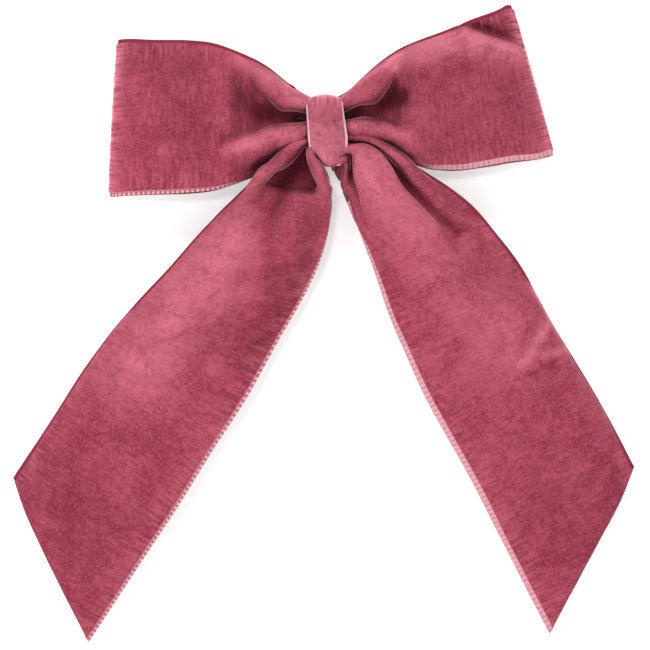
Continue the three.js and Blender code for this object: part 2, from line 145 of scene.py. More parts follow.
@dataclass(frozen=True)
class Rumple:
    """Soft, uneven waves left in cloth by handling."""

    height: float = 0.28 * MM
    along: float = 26.0 * MM
    across: float = 17.0 * MM
    seed: int = 3
    waves_laid: ClassVar[int] = 9

    def waves(self, run: np.ndarray, width: np.ndarray) -> np.ndarray:
        """Height of the waves at flat places on the ribbon.

        Args:
            run: distance along the ribbon.
            width: distance across the ribbon.

        Returns:
            The outward shift at each place.
        """
        rng = np.random.default_rng(self.seed)
        total = np.zeros(np.broadcast(run, width).shape)
        for _ in range(self.waves_laid):
            a, b = rng.normal(size=2)
            phase = rng.uniform(0, 2 * math.pi)
            size = rng.uniform(0.6, 1.7)
            total += np.sin(2 * math.pi * (a * run / self.along + b * width / self.across) / size + phase)
        return total * self.height / math.sqrt(self.waves_laid)


@dataclass(frozen=True)
class Stroke:
    """A straight line drawn on the cloth, from start to end, both (x, z) in millimetres."""

    start: Spot
    end: Spot

    def nearest(self, points: np.ndarray) -> tuple[np.ndarray, np.ndarray, np.ndarray]:
        """Where points lie beside the line.

        Args:
            points: surface points in metres.

        Returns:
            Each point's share of the way along, its distance, and on which side it is.
        """
        a, b = np.array(self.start) * MM, np.array(self.end) * MM
        line, flat = b - a, points[..., [0, 2]]
        share = ((flat - a) @ line) / (line @ line)
        gap = np.linalg.norm(flat - (a + np.clip(share, 0, 1)[..., None] * line), axis=-1)
        return share, gap, (flat - a) @ np.array([-line[1], line[0]])


@dataclass(frozen=True)
class LightShadeStroke(Stroke):
    """A stroke painted on the pile: painted highlight where its tone is above zero, painted shade where
    below, in places also pile lying another way.
    """

    spread: float
    tone: float

    def light_and_shade(self, points: np.ndarray) -> np.ndarray:
        """Painted highlight (above zero) or painted shade (below zero) of the stroke at each point in
        metres.
        """
        _, gap, _ = self.nearest(points)
        return self.tone * np.exp(-((gap / (self.spread * MM)) ** 2))


@dataclass(frozen=True)
class Dent(Stroke):
    """A short crease pressed into a finished surface, which may be steep on one side."""

    depth: float
    spread: float
    one_sided: bool = False
    steepness: ClassVar[float] = 0.22
    ends_in: ClassVar[float] = 0.08

    def lift(self, points: np.ndarray) -> np.ndarray:
        """Distance to move each point in metres inward, also in metres."""
        share, gap, side = self.nearest(points)
        shape = np.exp(-((gap / (self.spread * MM)) ** 2))
        if self.one_sided:
            steep = np.exp(-((gap / (self.spread * self.steepness * MM)) ** 2))
            shape = np.where(side > 0, shape, steep)
        along = np.clip(share * (1 - 2 * self.ends_in) + self.ends_in, 0, 1)
        return self.depth * MM * shape * np.sin(math.pi * along)


def blend_rows(places: np.ndarray, rows: np.ndarray, wanted: np.ndarray) -> np.ndarray:
    """Smooth, never overshooting curve through the stations' sizes.

    Args:
        places: distance of each station.
        rows: one row of sizes for each station.
        wanted: distances to read the curve at.

    Returns:
        One row of sizes for each wanted distance.
    """
    step = np.diff(places)[:, None]
    slope = np.diff(rows, axis=0) / step
    inner = np.zeros_like(rows)
    before, after = slope[:-1], slope[1:]
    w1, w2 = 2 * step[1:] + step[:-1], step[1:] + 2 * step[:-1]
    same = before * after > 0
    with np.errstate(divide="ignore", invalid="ignore"):
        mean = (w1 + w2) / (w1 / before + w2 / after)
    inner[1:-1] = np.where(same, mean, 0.0)
    inner[0], inner[-1] = slope[0], slope[-1]
    index = np.clip(np.searchsorted(places, wanted) - 1, 0, len(places) - 2)
    h = (places[index + 1] - places[index])[:, None]
    t = ((wanted - places[index])[:, None]) / h
    a, b = rows[index], rows[index + 1]
    ta, tb = inner[index] * h, inner[index + 1] * h
    t2, t3 = t * t, t * t * t
    return a * (2 * t3 - 3 * t2 + 1) + ta * (t3 - 2 * t2 + t) + b * (3 * t2 - 2 * t3) + tb * (t3 - t2)


def soften(rows: np.ndarray, spread: float) -> np.ndarray:
    """Evens out rows of sizes along the ribbon, keeping both ends.

    Args:
        rows: rows of sizes.
        spread: how many rows the softening reaches.

    Returns:
        The softened rows.
    """
    reach = int(3 * spread)
    weights = np.exp(-0.5 * (np.arange(-reach, reach + 1) / spread) ** 2)
    weights /= weights.sum()
    head = 2 * rows[0] - rows[reach:0:-1]
    tail = 2 * rows[-1] - rows[-2 : -reach - 2 : -1]
    padded = np.vstack([head, rows, tail])
    return np.stack([np.convolve(padded[:, k], weights, "valid") for k in range(rows.shape[1])], axis=1)


@dataclass
class FoldedRibbon:
    """A ribbon that keeps its flat width in every cross-section while it is gathered and folded.

    Attributes:
        fine: gap between worked-out rows.
        softness: how many rows the stations are evened out over.
        roundness: how much rounder a pleat's ridge is than its valley.
        deepest: depth that no valley passes.
        opened_and_lit: how far gathering opens the pile, by row and column, less deep in the valleys, so
            the ridges carry a painted highlight.
    """

    stations: Sequence[Station]
    width: float = RIBBON_WIDTH
    fine: float = 0.35 * MM
    softness: float = 3.0
    roundness: float = 1.9
    deepest: float = 7.0 * MM
    points: np.ndarray = field(init=False)
    run: np.ndarray = field(init=False)
    outward: np.ndarray = field(init=False)
    opened_and_lit: np.ndarray = field(init=False)
    across: np.ndarray = field(init=False)
    columns: ClassVar[int] = 161
    fewest_rows: ClassVar[int] = 40
    least_gap: ClassVar[float] = 0.05 * MM
    flank: ClassVar[float] = 2.3
    most_turn: ClassVar[float] = 2.7
    halvings: ClassVar[int] = 34
    idle_turn: ClassVar[float] = 0.02
    steady_rows: ClassVar[float] = 4.0
    steady_length: ClassVar[float] = 4.0 * MM
    narrow: ClassVar[float] = 20.0 * MM
    fit_range: ClassVar[Spot] = (0.7, 1.35)
    depth_curve: ClassVar[float] = 1.5
    lit_depth: ClassVar[float] = 4.0 * MM

    def __post_init__(self) -> None:
        """Works out the surface as rows of points along the ribbon."""
        rows = np.array([s.numbers() for s in self.stations])
        rows[:, :6] *= MM
        middle = (rows[:, :3] + rows[:, 3:6]) / 2
        gaps = np.linalg.norm(np.diff(middle, axis=0), axis=1) + self.least_gap
        places = np.concatenate([[0], np.cumsum(gaps)])
        wanted = np.linspace(0, places[-1], max(self.fewest_rows, int(places[-1] / self.fine)))
        smooth = soften(blend_rows(places, rows, wanted), self.softness)
        self.across = np.linspace(0, self.width, self.columns)
        self.points, self.outward = self._sections(smooth)
        steps = np.linalg.norm(np.diff(self.points, axis=0), axis=2).mean(axis=1)
        self.run = np.concatenate([[0], np.cumsum(steps)])

    def _sections(self, rows: np.ndarray) -> tuple[np.ndarray, np.ndarray]:
        """Folds each cross-section so that the flat width fits between its selvedges.

        Args:
            rows: blended station sizes.

        Returns:
            The surface points and the outward direction of each row.
        """
        first, last = rows[:, 0:3], rows[:, 3:6]
        out = rows[:, 6:9] / np.linalg.norm(rows[:, 6:9], axis=1)[:, None]
        chord = np.linalg.norm(last - first, axis=1)
        angle = self._drawn_in(self._turning(rows[:, 9:].reshape(len(rows), -1, 3)), chord)
        side, rise = self._walk(np.cos(angle)), self._walk(np.sin(angle))
        span = chord[:, None]
        fit = np.clip(span / np.maximum(side[:, -1:], 1e-6), *self.fit_range)
        short = span - side[:, -1:] * fit
        share = (side * fit + short * self.across / self.width) / span
        depth = rise - rise.max(axis=1, keepdims=True)
        sunk = np.tanh((-depth / self.deepest) ** self.depth_curve) ** (1 / self.depth_curve)
        depth = -self.deepest * sunk
        gathered = np.clip(1 - chord / self.width, 0, 1)[:, None] * np.ones_like(depth)
        # Painted highlight: gathered pile is lightest on the ridges and fades out within lit_depth below
        # them.
        self.opened_and_lit = np.clip(1.7 * gathered - 0.25, 0, 1) * np.clip(1 + depth / self.lit_depth, 0, 1)
        points = first[:, None, :] + share[:, :, None] * (last - first)[:, None, :]
        return points + depth[:, :, None] * out[:, None, :], out

    def _turning(self, bends: np.ndarray) -> np.ndarray:
        """Which way each place of each section turns, and how much beside its neighbours.

        Args:
            bends: place, turn and reach of every bend, by row.

        Returns:
            The turning by row and column.
        """
        scale = self.width / RIBBON_WIDTH
        place, turn, reach = bends[:, :, 0] * MM * scale, bends[:, :, 1, None], bends[:, :, 2] * MM * scale
        offset = (self.across[None, None, :] - place[:, :, None]) / reach[:, :, None]
        ridge_side = np.sign(offset) * np.sign(turn) > 0
        offset = np.abs(offset) / np.where(ridge_side, self.roundness, 1.0)
        return (turn * np.exp(-(offset**self.flank))).sum(axis=1)

    def _drawn_in(self, turning: np.ndarray, chord: np.ndarray) -> np.ndarray:
        """Steepens the turning until each section is just as wide as the gap between its selvedges.

        Args:
            turning: the turning by row and column.
            chord: gap between the selvedges of each row.

        Returns:
            The cloth's angle by row and column, evened out along the ribbon.
        """
        low, high = np.zeros(len(chord)), np.full(len(chord), self.most_turn)
        for _ in range(self.halvings):
            middle = (low + high) / 2
            reached = np.cos(middle[:, None] * turning)
            width = (reached[:, 1:] + reached[:, :-1]).sum(axis=1) * self.across[1] / 2
            high = np.where(width < chord, middle, high)
            low = np.where(width < chord, low, middle)
        steady = self.steady_length / self.fine if self.width > self.narrow else self.steady_rows
        peak = np.abs(turning).max(axis=1)
        amount = np.where(peak > self.idle_turn, low * peak, 0.0)
        return soften(amount[:, None], steady) * turning / np.maximum(peak, self.idle_turn)[:, None]

    def _walk(self, slope: np.ndarray) -> np.ndarray:
        """Adds slopes up across each section, from zero at its first selvedge."""
        steps = np.cumsum((slope[:, 1:] + slope[:, :-1]) * self.across[1] / 2, axis=1)
        return np.hstack([np.zeros((len(slope), 1)), steps])

    @property
    def length(self) -> float:
        """Flat length of the ribbon."""
        return float(self.run[-1])

    def at(self, run: np.ndarray, across: np.ndarray, values: np.ndarray) -> np.ndarray:
        """Reads the surface, or something known over it, at flat places.

        Args:
            run: distance along the ribbon, one row for each row of the wanted grid.
            across: distance across the ribbon, one for each column.
            values: what to read, by row and column of the fine surface.

        Returns:
            The values at each place of the grid.
        """
        i = np.clip(np.searchsorted(self.run, run) - 1, 0, len(self.run) - 2)
        u = ((run - self.run[i]) / np.maximum(self.run[i + 1] - self.run[i], 1e-9))[..., None]
        j = np.broadcast_to(across / self.width * (len(self.across) - 1), run.shape)
        k = np.clip(j.astype(int), 0, len(self.across) - 2)
        v = (j - k)[..., None]
        low = values[i, k] * (1 - v) + values[i, k + 1] * v
        high = values[i + 1, k] * (1 - v) + values[i + 1, k + 1] * v
        return low * (1 - u) + high * u

    def facing(self, run: np.ndarray) -> np.ndarray:
        """Outward direction of the section at each distance along the ribbon."""
        return np.stack([np.interp(run, self.run, self.outward[:, k]) for k in range(3)], axis=-1)


@dataclass(frozen=True)
class Weave:
    """Build of the velvet: pile height, ground thickness, and the bare selvedge at each edge.

    Attributes:
        edge_columns: places of the mesh's first columns, in widths of the selvedge.
        bare_share: share of the selvedge that has no pile at all.
        pile_rise: how far the pile then takes to reach its height, in widths of the selvedge.
    """

    pile: float = 0.55 * MM
    ground: float = 0.35 * MM
    selvedge: float = 1.45 * MM
    row_gap: float = 0.8 * MM
    column_gap: float = 0.8 * MM
    edge_columns: ClassVar[tuple[float, ...]] = (0.0, 0.35, 0.7, 0.92, 1.12)
    bare_share: ClassVar[float] = 0.7
    pile_rise: ClassVar[float] = 0.42

    def columns(self, width: float) -> np.ndarray:
        """Distances across the ribbon of the mesh's columns, close together at the selvedges."""
        edge = np.array(self.edge_columns) * self.selvedge
        inner = np.linspace(edge[-1], width - edge[-1], int((width - 2 * edge[-1]) / self.column_gap) + 1)
        return np.concatenate([edge, inner[1:-1], width - edge[::-1]])

    def fullness(self, across: np.ndarray, width: float) -> np.ndarray:
        """Share of the pile height at each distance across: none on the selvedge, full inside it."""
        inside = np.minimum(across, width - across) / self.selvedge
        return np.clip((inside - self.bare_share) / self.pile_rise, 0, 1)


# ------------------------------------------------------------------- materials


FLOAT, VECTOR = "NodeSocketFloat", "NodeSocketVector"
COLOUR_MIX_INPUTS, COLOUR_MIX_RESULT = (0, 6, 7), 2


def settle(node: bpy.types.Node, values: dict[str, object]) -> None:
    """Sets a node's inputs to fixed values."""
    for name, value in values.items():
        node.inputs[name].default_value = value


class Graph:
    """A small helper that adds and joins shader nodes."""

    def __init__(self, tree: bpy.types.NodeTree) -> None:
        """Starts on an empty node tree."""
        self.tree = tree

    def add(self, kind: str, **settings: object) -> bpy.types.Node:
        """Adds a node.

        Args:
            kind: the node's type name without its ShaderNode prefix.
            settings: properties of the node.

        Returns:
            The new node.
        """
        node = self.tree.nodes.new(kind if kind.startswith("Node") else "ShaderNode" + kind)
        for name, value in settings.items():
            setattr(node, name, value)
        return node

    def join(self, source: bpy.types.NodeSocket, target: bpy.types.NodeSocket) -> None:
        """Joins an output to an input."""
        self.tree.links.new(source, target)

    def put(self, value: object, target: bpy.types.NodeSocket) -> None:
        """Sets an input to a value, or joins an output to it."""
        if isinstance(value, bpy.types.NodeSocket):
            self.join(value, target)
        else:
            target.default_value = value

    def calculate(self, kind: str, *values: object, clamp: bool = False) -> bpy.types.NodeSocket:
        """Adds a Math node.

        Args:
            kind: the operation.
            values: its inputs, numbers or outputs of other nodes.
            clamp: keeps the result between 0 and 1.

        Returns:
            The result.
        """
        node = self.add("Math", operation=kind, use_clamp=clamp)
        for place, value in enumerate(values):
            self.put(value, node.inputs[place])
        return node.outputs[0]

    def plus(self, first: object, *others: object) -> bpy.types.NodeSocket:
        """Adds values up, one after another."""
        for other in others:
            first = self.calculate("ADD", first, other)
        return first

    def times(self, a: object, b: object, clamp: bool = False) -> bpy.types.NodeSocket:
        """Multiplies two values."""
        return self.calculate("MULTIPLY", a, b, clamp=clamp)

    def minus(self, a: object, b: object) -> bpy.types.NodeSocket:
        """Takes the second value from the first."""
        return self.calculate("SUBTRACT", a, b)

    def larger(self, a: object, b: object) -> bpy.types.NodeSocket:
        """The larger of two values."""
        return self.calculate("MAXIMUM", a, b)

    def smaller(self, a: object, b: object) -> bpy.types.NodeSocket:
        """The smaller of two values."""
        return self.calculate("MINIMUM", a, b)

    def split(self, vector: bpy.types.NodeSocket) -> Sequence[bpy.types.NodeSocket]:
        """The three parts of a vector."""
        node = self.add("SeparateXYZ")
        self.join(vector, node.inputs[0])
        return node.outputs

    def flat_place(self) -> bpy.types.NodeSocket:
        """Place on the flat ribbon: distance along it, and across it, in metres."""
        return self.add("UVMap", uv_map="flat").outputs["UV"]

    def place(self) -> bpy.types.NodeSocket:
        """Place on the piece itself."""
        return self.add("TexCoord").outputs["Object"]

    def mark(self, name: str) -> bpy.types.NodeSocket:
        """A value laid on the ribbon's mesh."""
        return self.add("Attribute", attribute_name=name).outputs["Fac"]

    def unshaded_share(self, samples: int, reach: float) -> bpy.types.NodeSocket:
        """Ambient occlusion, used for painted shade: how little a place is shut in by what is within reach.
        """
        node = self.add("AmbientOcclusion", samples=samples, inside=False)
        node.inputs["Distance"].default_value = reach
        return node.outputs["AO"]

    def noise(self, vector: bpy.types.NodeSocket, scale: object, detail: float = 2.0, rough: float = 0.5,
              spread: float = 0.0) -> bpy.types.NodeSocket:
        """Adds a Noise Texture.

        Args:
            vector: where it is read.
            scale: its fineness.
            detail: its number of octaves.
            rough: its share of fine octaves.
            spread: its distortion.

        Returns:
            The noise's value.
        """
        node = self.add("TexNoise")
        settle(node, {"Detail": detail, "Roughness": rough, "Distortion": spread})
        self.join(vector, node.inputs["Vector"])
        self.put(scale, node.inputs["Scale"])
        return node.outputs["Fac"]

    def stretch(self, vector: bpy.types.NodeSocket, x: float, y: float,
                z: float = 1.0) -> bpy.types.NodeSocket:
        """Stretches a vector by a factor on each axis."""
        node = self.add("Mapping")
        self.join(vector, node.inputs["Vector"])
        node.inputs["Scale"].default_value = (x, y, z)
        return node.outputs["Vector"]

    def ramp(self, value: object, low: float, high: float) -> bpy.types.NodeSocket:
        """Maps low..high to 0..1 smoothly, kept within it."""
        node = self.add("MapRange", interpolation_type="SMOOTHSTEP")
        settle(node, {"From Min": low, "From Max": high})
        self.put(value, node.inputs["Value"])
        return node.outputs["Result"]

    def mix(self, share: object, a: object, b: object) -> bpy.types.NodeSocket:
        """Mixes a share of the second colour into the first."""
        node = self.add("Mix", data_type="RGBA")
        for place, value in zip(COLOUR_MIX_INPUTS, (share, a, b)):
            self.put(value, node.inputs[place])
        return node.outputs[COLOUR_MIX_RESULT]


def new_group(name: str, inputs: dict[str, tuple[str, object]], outputs: Sequence[str]) -> tuple[
        bpy.types.NodeTree, Graph, bpy.types.Node, bpy.types.Node]:
    """Starts a shader node group with named sockets.

    Args:
        name: the group's name.
        inputs: each input's socket type and default.
        outputs: the names of its outputs, all plain values.

    Returns:
        The group, its graph, and its input and output nodes.
    """
    tree = bpy.data.node_groups.new(name, "ShaderNodeTree")
    for label, (kind, value) in inputs.items():
        socket = tree.interface.new_socket(label, in_out="INPUT", socket_type=kind)
        if value is not None:
            socket.default_value = value
    for label in outputs:
        tree.interface.new_socket(label, in_out="OUTPUT", socket_type=FLOAT)
    graph = Graph(tree)
    return tree, graph, graph.add("NodeGroupInput"), graph.add("NodeGroupOutput")


@dataclass
class Effects:
    """Surface effects that several finishes share, built once as node groups."""

    nap: bpy.types.NodeTree = field(init=False)
    grain: bpy.types.NodeTree = field(init=False)
    rows: bpy.types.NodeTree = field(init=False)
    wear: bpy.types.NodeTree = field(init=False)

    def __post_init__(self) -> None:
        """Builds each group."""
        self.nap = self._nap()
        self.grain = self._grain()
        self.rows = self._rows()
        self.wear = self._wear()

    @staticmethod
    def _nap() -> bpy.types.NodeTree:
        """Velvet pile: brushed patches, cross rows, bright tips and tuft height."""
        tree, g, start, end = new_group("pile_nap", {"Place": (VECTOR, None)},
                                        ("Brushed", "Rows", "Tips", "Height"))
        place = start.outputs["Place"]
        broad = g.noise(place, 45.0, detail=3.0, rough=0.55, spread=0.6)
        patch = g.noise(place, 170.0, detail=3.0, rough=0.6, spread=0.4)
        blotch = g.noise(place, 560.0, detail=2.0, rough=0.55, spread=0.8)
        streak = g.noise(g.stretch(place, 780.0, 150.0), 1.0, detail=2.0, rough=0.5, spread=0.2)
        fine_row = g.noise(g.stretch(place, 1500.0, 330.0), 1.0, detail=1.5)
        tuft = g.noise(g.stretch(place, 2600.0, 1500.0), 1.0, detail=2.0, rough=0.6)
        clump = g.noise(place, 1250.0, detail=3.0, rough=0.65, spread=0.3)
        brushed = g.plus(g.times(broad, 0.40), g.times(patch, 0.28), g.times(blotch, 0.32))
        rows = g.plus(g.times(streak, 0.6), g.times(fine_row, 0.4))
        height = g.plus(g.times(tuft, 0.5), g.times(clump, 0.6), g.times(streak, 0.5), g.times(patch, 0.8))
        g.join(g.ramp(brushed, 0.38, 0.62), end.inputs["Brushed"])
        g.join(g.ramp(rows, 0.36, 0.64), end.inputs["Rows"])
        g.join(g.ramp(g.times(tuft, clump), 0.22, 0.40), end.inputs["Tips"])
        g.join(height, end.inputs["Height"])
        return tree

    @staticmethod
    def _grain() -> bpy.types.NodeTree:
        """Fine mottling and matching height, for felt, glue and metal."""
        tree, g, start, end = new_group("fine_grain", {"Place": (VECTOR, None), "Scale": (FLOAT, 600.0)},
                                        ("Mask", "Height"))
        mottle = g.noise(start.outputs["Place"], start.outputs["Scale"], detail=4.0, rough=0.65)
        g.join(g.ramp(mottle, 0.32, 0.68), end.inputs["Mask"])
        g.join(mottle, end.inputs["Height"])
        return tree

    @staticmethod
    def _rows() -> bpy.types.NodeTree:
        """Woven ribs: threads side by side, crossed by finer ones."""
        tree, g, start, end = new_group(
            "woven_rows", {"Place": (VECTOR, None), "Along": (FLOAT, 2600.0), "Across": (FLOAT, 1700.0)},
            ("Mask", "Height"))
        place = start.outputs["Place"]
        run, across, _ = g.split(place)
        along_threads = g.calculate("SINE", g.times(run, start.outputs["Along"]))
        cross_threads = g.calculate("SINE", g.times(across, start.outputs["Across"]))
        weave = g.times(along_threads, cross_threads)
        height = g.plus(g.times(weave, 0.3), g.times(cross_threads, 0.2), 0.5)
        uneven = g.noise(place, 420.0, detail=3.0)
        g.join(g.times(height, g.plus(uneven, 0.5), clamp=True), end.inputs["Mask"])
        g.join(height, end.inputs["Height"])
        return tree

    @staticmethod
    def _wear() -> bpy.types.NodeTree:
        """Rubbed edges and hair-fine scratches on metal."""
        tree, g, start, end = new_group("rubbed_metal", {"Place": (VECTOR, None), "Amount": (FLOAT, 0.5)},
                                        ("Edge", "Scratch"))
        place = start.outputs["Place"]
        soft = g.add("Bevel", samples=6)
        settle(soft, {"Radius": 0.35 * MM})
        agree = g.add("VectorMath", operation="DOT_PRODUCT")
        g.join(soft.outputs["Normal"], agree.inputs[0])
        g.join(g.add("NewGeometry").outputs["Normal"], agree.inputs[1])
        edge = g.ramp(g.minus(1.0, agree.outputs["Value"]), 0.02, 0.22)
        broken = g.times(edge, g.ramp(g.noise(place, 900.0, detail=4.0, rough=0.7), 0.35, 0.6))
        g.join(g.times(broken, start.outputs["Amount"], clamp=True), end.inputs["Edge"])
        lines = g.noise(g.stretch(place, 90.0, 2400.0, 2400.0), 1.0, detail=2.0, rough=0.6, spread=0.1)
        g.join(g.ramp(lines, 0.6, 0.72), end.inputs["Scratch"])
        return tree


def new_material(name: str) -> tuple[bpy.types.Material, Graph, bpy.types.Node]:
    """Starts a material with an empty Principled BSDF.

    Args:
        name: the material's name.

    Returns:
        The material, its graph and its Principled node.
    """
    material = bpy.data.materials.new(name)
    material.use_nodes = True
    material.node_tree.nodes.clear()
    graph = Graph(material.node_tree)
    shader = graph.add("BsdfPrincipled")
    output = graph.add("OutputMaterial")
    graph.join(shader.outputs[0], output.inputs["Surface"])
    return material, graph, shader


def use_group(graph: Graph, tree: bpy.types.NodeTree, **values: object) -> bpy.types.NodeOutputs:
    """Places a group in a material.

    Args:
        graph: the material's graph.
        tree: the group.
        values: its inputs, numbers or outputs.

    Returns:
        What the group gives.
    """
    node = graph.add("Group", node_tree=tree)
    for name, value in values.items():
        graph.put(value, node.inputs[name])
    return node.outputs


def rough_up(graph: Graph, shader: bpy.types.Node, height: bpy.types.NodeSocket, strength: float,
             distance: float) -> None:
    """Gives a shader a bump from a height.

    Args:
        graph: the material's graph.
        shader: the Principled node.
        height: the height to follow.
        strength: how strongly it shows.
        distance: how high it stands, in metres.
    """
    bump = graph.add("Bump")
    settle(bump, {"Strength": strength, "Distance": distance})
    graph.join(height, bump.inputs["Height"])
    graph.join(bump.outputs["Normal"], shader.inputs["Normal"])


@dataclass(frozen=True)
class VelvetFinish:
    """Rose velvet with a bare woven selvedge along both edges.

    Attributes:
        deep: colour between the rows of pile.
        opened_and_lit: colour of opening pile and paler hairs, and of the painted highlight, painted sheen
            and painted glow.
        stroke_shade: colour of the painted shade under dark stroke marks.
        painted_shade: colour of the painted shade deep between folds.
        edge_highlight: colour of the painted highlight on fold hairs seen edge-on.
        both_looped: whether both selvedges show their picot loops, or only the last.
    """

    width: float = RIBBON_WIDTH
    name: str = "rose_velvet"
    deep: Colour = rgb(0.125, 0.010, 0.024)
    body: Colour = rgb(0.252, 0.028, 0.056)
    brushed: Colour = rgb(0.400, 0.068, 0.110)
    tips: Colour = rgb(0.60, 0.18, 0.235)
    selvedge: Colour = rgb(0.46, 0.13, 0.17)
    picot: Colour = rgb(0.82, 0.47, 0.52)
    opened_and_lit: Colour = rgb(0.60, 0.158, 0.218)
    stroke_shade: Colour = rgb(0.055, 0.003, 0.008)
    painted_shade: Colour = rgb(0.042, 0.003, 0.007)
    edge_highlight: Colour = rgb(0.84, 0.42, 0.49)
    sheen_tint: Colour = rgb(1.0, 0.36, 0.45)
    picot_gap: float = 1.6 * MM
    both_looped: bool = False
    rows: float = 0.40
    tip_share: float = 0.30
    edge_hair: float = 0.30
    fold_hair_and_sheen: float = 0.85
    edge_line: float = 0.34 * MM
    shade_reach: float = 15.0 * MM
    pile_relief: float = 0.34 * MM

    def make(self, effects: Effects, weave: Weave) -> bpy.types.Material:
        """Builds the material.

        Args:
            effects: the shared node groups.
            weave: the ribbon's build.

        Returns:
            The material.
        """
        material, g, shader = new_material(self.name)
        flat = g.flat_place()
        nap = use_group(g, effects.nap, Place=flat)
        facing = g.add("LayerWeight").outputs["Facing"]
        run, across, _ = g.split(flat)
        gap = g.smaller(across, g.minus(self.width, across))
        hairs = g.noise(g.stretch(flat, 900.0, 120.0), 1.0, detail=2.0, rough=0.6)
        colour = self._painted_light_and_shade(g, self._standing_pile(g, nap), nap, facing)
        colour = self._haired(g, colour, flat, gap, hairs, facing)
        colour, loops = self._edged(g, colour, run, across, gap, hairs, weave)
        colour = self._painted_fold_shade(g, colour, facing)
        g.join(colour, shader.inputs["Base Color"])
        # Painted glow: a faint emission in the lighter rose where the pile is seen edge-on.
        rim = g.mix(g.ramp(facing, 0.55, 1.0), rgb(0.0, 0.0, 0.0), self.opened_and_lit)
        g.join(rim, shader.inputs["Emission Color"])
        settle(shader, {"Roughness": 0.92, "Specular IOR Level": 0.12, "Sheen Weight": 1.0,
                        "Sheen Roughness": 0.30, "Sheen Tint": self.sheen_tint, "Emission Strength": 0.10})
        rough_up(g, shader, g.plus(nap["Height"], g.times(loops, 1.2)), 0.62, self.pile_relief)
        return material

    def _standing_pile(self, g: Graph, nap: bpy.types.NodeOutputs) -> bpy.types.NodeSocket:
        """Colour of the standing pile: brushed patches, cross rows and bright tips."""
        colour = g.mix(nap["Brushed"], self.body, self.brushed)
        colour = g.mix(g.times(nap["Rows"], self.rows), colour, self.deep)
        return g.mix(g.times(nap["Tips"], self.tip_share), colour, self.tips)

    def _painted_light_and_shade(self, g: Graph, colour: bpy.types.NodeSocket, nap: bpy.types.NodeOutputs,
                 facing: bpy.types.NodeSocket) -> bpy.types.NodeSocket:
        """Painted light: lightens gathered pile and walls that lean (partly their real opening pile, partly
        painted highlight), pile seen edge-on (painted sheen) and light stroke marks (painted highlight);
        darkens dark stroke marks (painted shade).
        """
        light_and_shade = g.mark("light_and_shade")
        uneven = g.plus(g.times(nap["Brushed"], 0.7), g.times(nap["Tips"], 0.35), 0.40)
        # Painted sheen where the pile is seen edge-on.
        edge_on_sheen = g.times(g.ramp(facing, 0.30, 1.0), 0.55)
        light = g.plus(g.times(g.mark("bend"), 0.62), g.larger(light_and_shade, 0.0), edge_on_sheen)
        colour = g.mix(g.times(light, uneven, clamp=True), colour, self.opened_and_lit)
        # Painted shade under dark stroke marks.
        shade_side = g.larger(g.times(light_and_shade, -1.0), 0.0)
        dark = g.times(shade_side, g.plus(g.times(nap["Rows"], 0.2), 0.85))
        return g.mix(g.smaller(dark, 0.92), colour, self.stroke_shade)

    def _haired(self, g: Graph, colour: bpy.types.NodeSocket, flat: bpy.types.NodeSocket,
                gap: bpy.types.NodeSocket, hairs: bpy.types.NodeSocket,
                facing: bpy.types.NodeSocket) -> bpy.types.NodeSocket:
        """Adds the paler hairs beside the selvedges, paler pile round the folds that is partly painted
        sheen, and a painted highlight on fold hairs seen edge-on.
        """
        turned = g.noise(g.stretch(flat, 120.0, 1100.0), 1.0, detail=2.0, rough=0.6)
        near_edge = g.minus(1.0, g.ramp(gap, 0.02 * self.width, 0.21 * self.width))
        edge_hairs = g.times(g.ramp(hairs, 0.46, 0.62), near_edge)
        fold_hairs_and_sheen = g.times(g.plus(g.ramp(turned, 0.40, 0.60), 0.25), g.ramp(g.mark("combed"), 0.05, 0.95))
        colour = g.mix(g.times(edge_hairs, self.edge_hair), colour, self.opened_and_lit)
        colour = g.mix(g.times(fold_hairs_and_sheen, self.fold_hair_and_sheen, clamp=True), colour, self.opened_and_lit)
        # Painted highlight on the fold hairs where they are seen edge-on.
        standing = g.times(g.ramp(facing, 0.25, 0.85), g.times(fold_hairs_and_sheen, 1.2), clamp=True)
        return g.mix(standing, colour, self.edge_highlight)

    def _edged(self, g: Graph, colour: bpy.types.NodeSocket, run: bpy.types.NodeSocket,
               across: bpy.types.NodeSocket, gap: bpy.types.NodeSocket, hairs: bpy.types.NodeSocket,
               weave: Weave) -> tuple[bpy.types.NodeSocket, bpy.types.NodeSocket]:
        """Bares the selvedge: separate picot loops on the left, a fuller ladder of them on the right.

        Returns:
            The colour, and where the loops stand.
        """
        last_edge = g.ramp(across, self.width * 0.4, self.width * 0.6)
        ladder = g.times(g.ramp(g.split(g.place())[0], 3.0 * MM, 6.0 * MM), last_edge)
        bare_to = g.plus(g.times(ladder, weave.selvedge * 0.4), weave.selvedge)
        bare = g.ramp(g.minus(bare_to, gap), -0.12 * MM, 0.2 * MM)
        dots = g.calculate("SINE", g.times(run, 2 * math.pi / self.picot_gap))
        looped = g.minus(1.0, g.ramp(gap, weave.selvedge * 0.3, weave.selvedge * 0.95))
        picots = g.times(g.ramp(dots, -0.15, 0.5), looped)
        strip = g.plus(g.times(g.ramp(dots, -0.9, 0.2), 0.30), g.times(hairs, 0.55))
        loops = g.plus(g.times(picots, g.minus(1.0, ladder)), g.times(strip, ladder))
        off_line = g.times(g.calculate("ABSOLUTE", g.minus(gap, bare_to)), 1 / self.edge_line)
        loops = g.larger(loops, g.times(g.larger(g.minus(1.0, off_line), 0.0), 0.6))
        woven = self.selvedge
        if not self.both_looped:
            loops = g.times(loops, last_edge)
            woven = g.mix(last_edge, self.body, self.selvedge)
        return g.mix(bare, colour, g.mix(loops, woven, self.picot)), loops

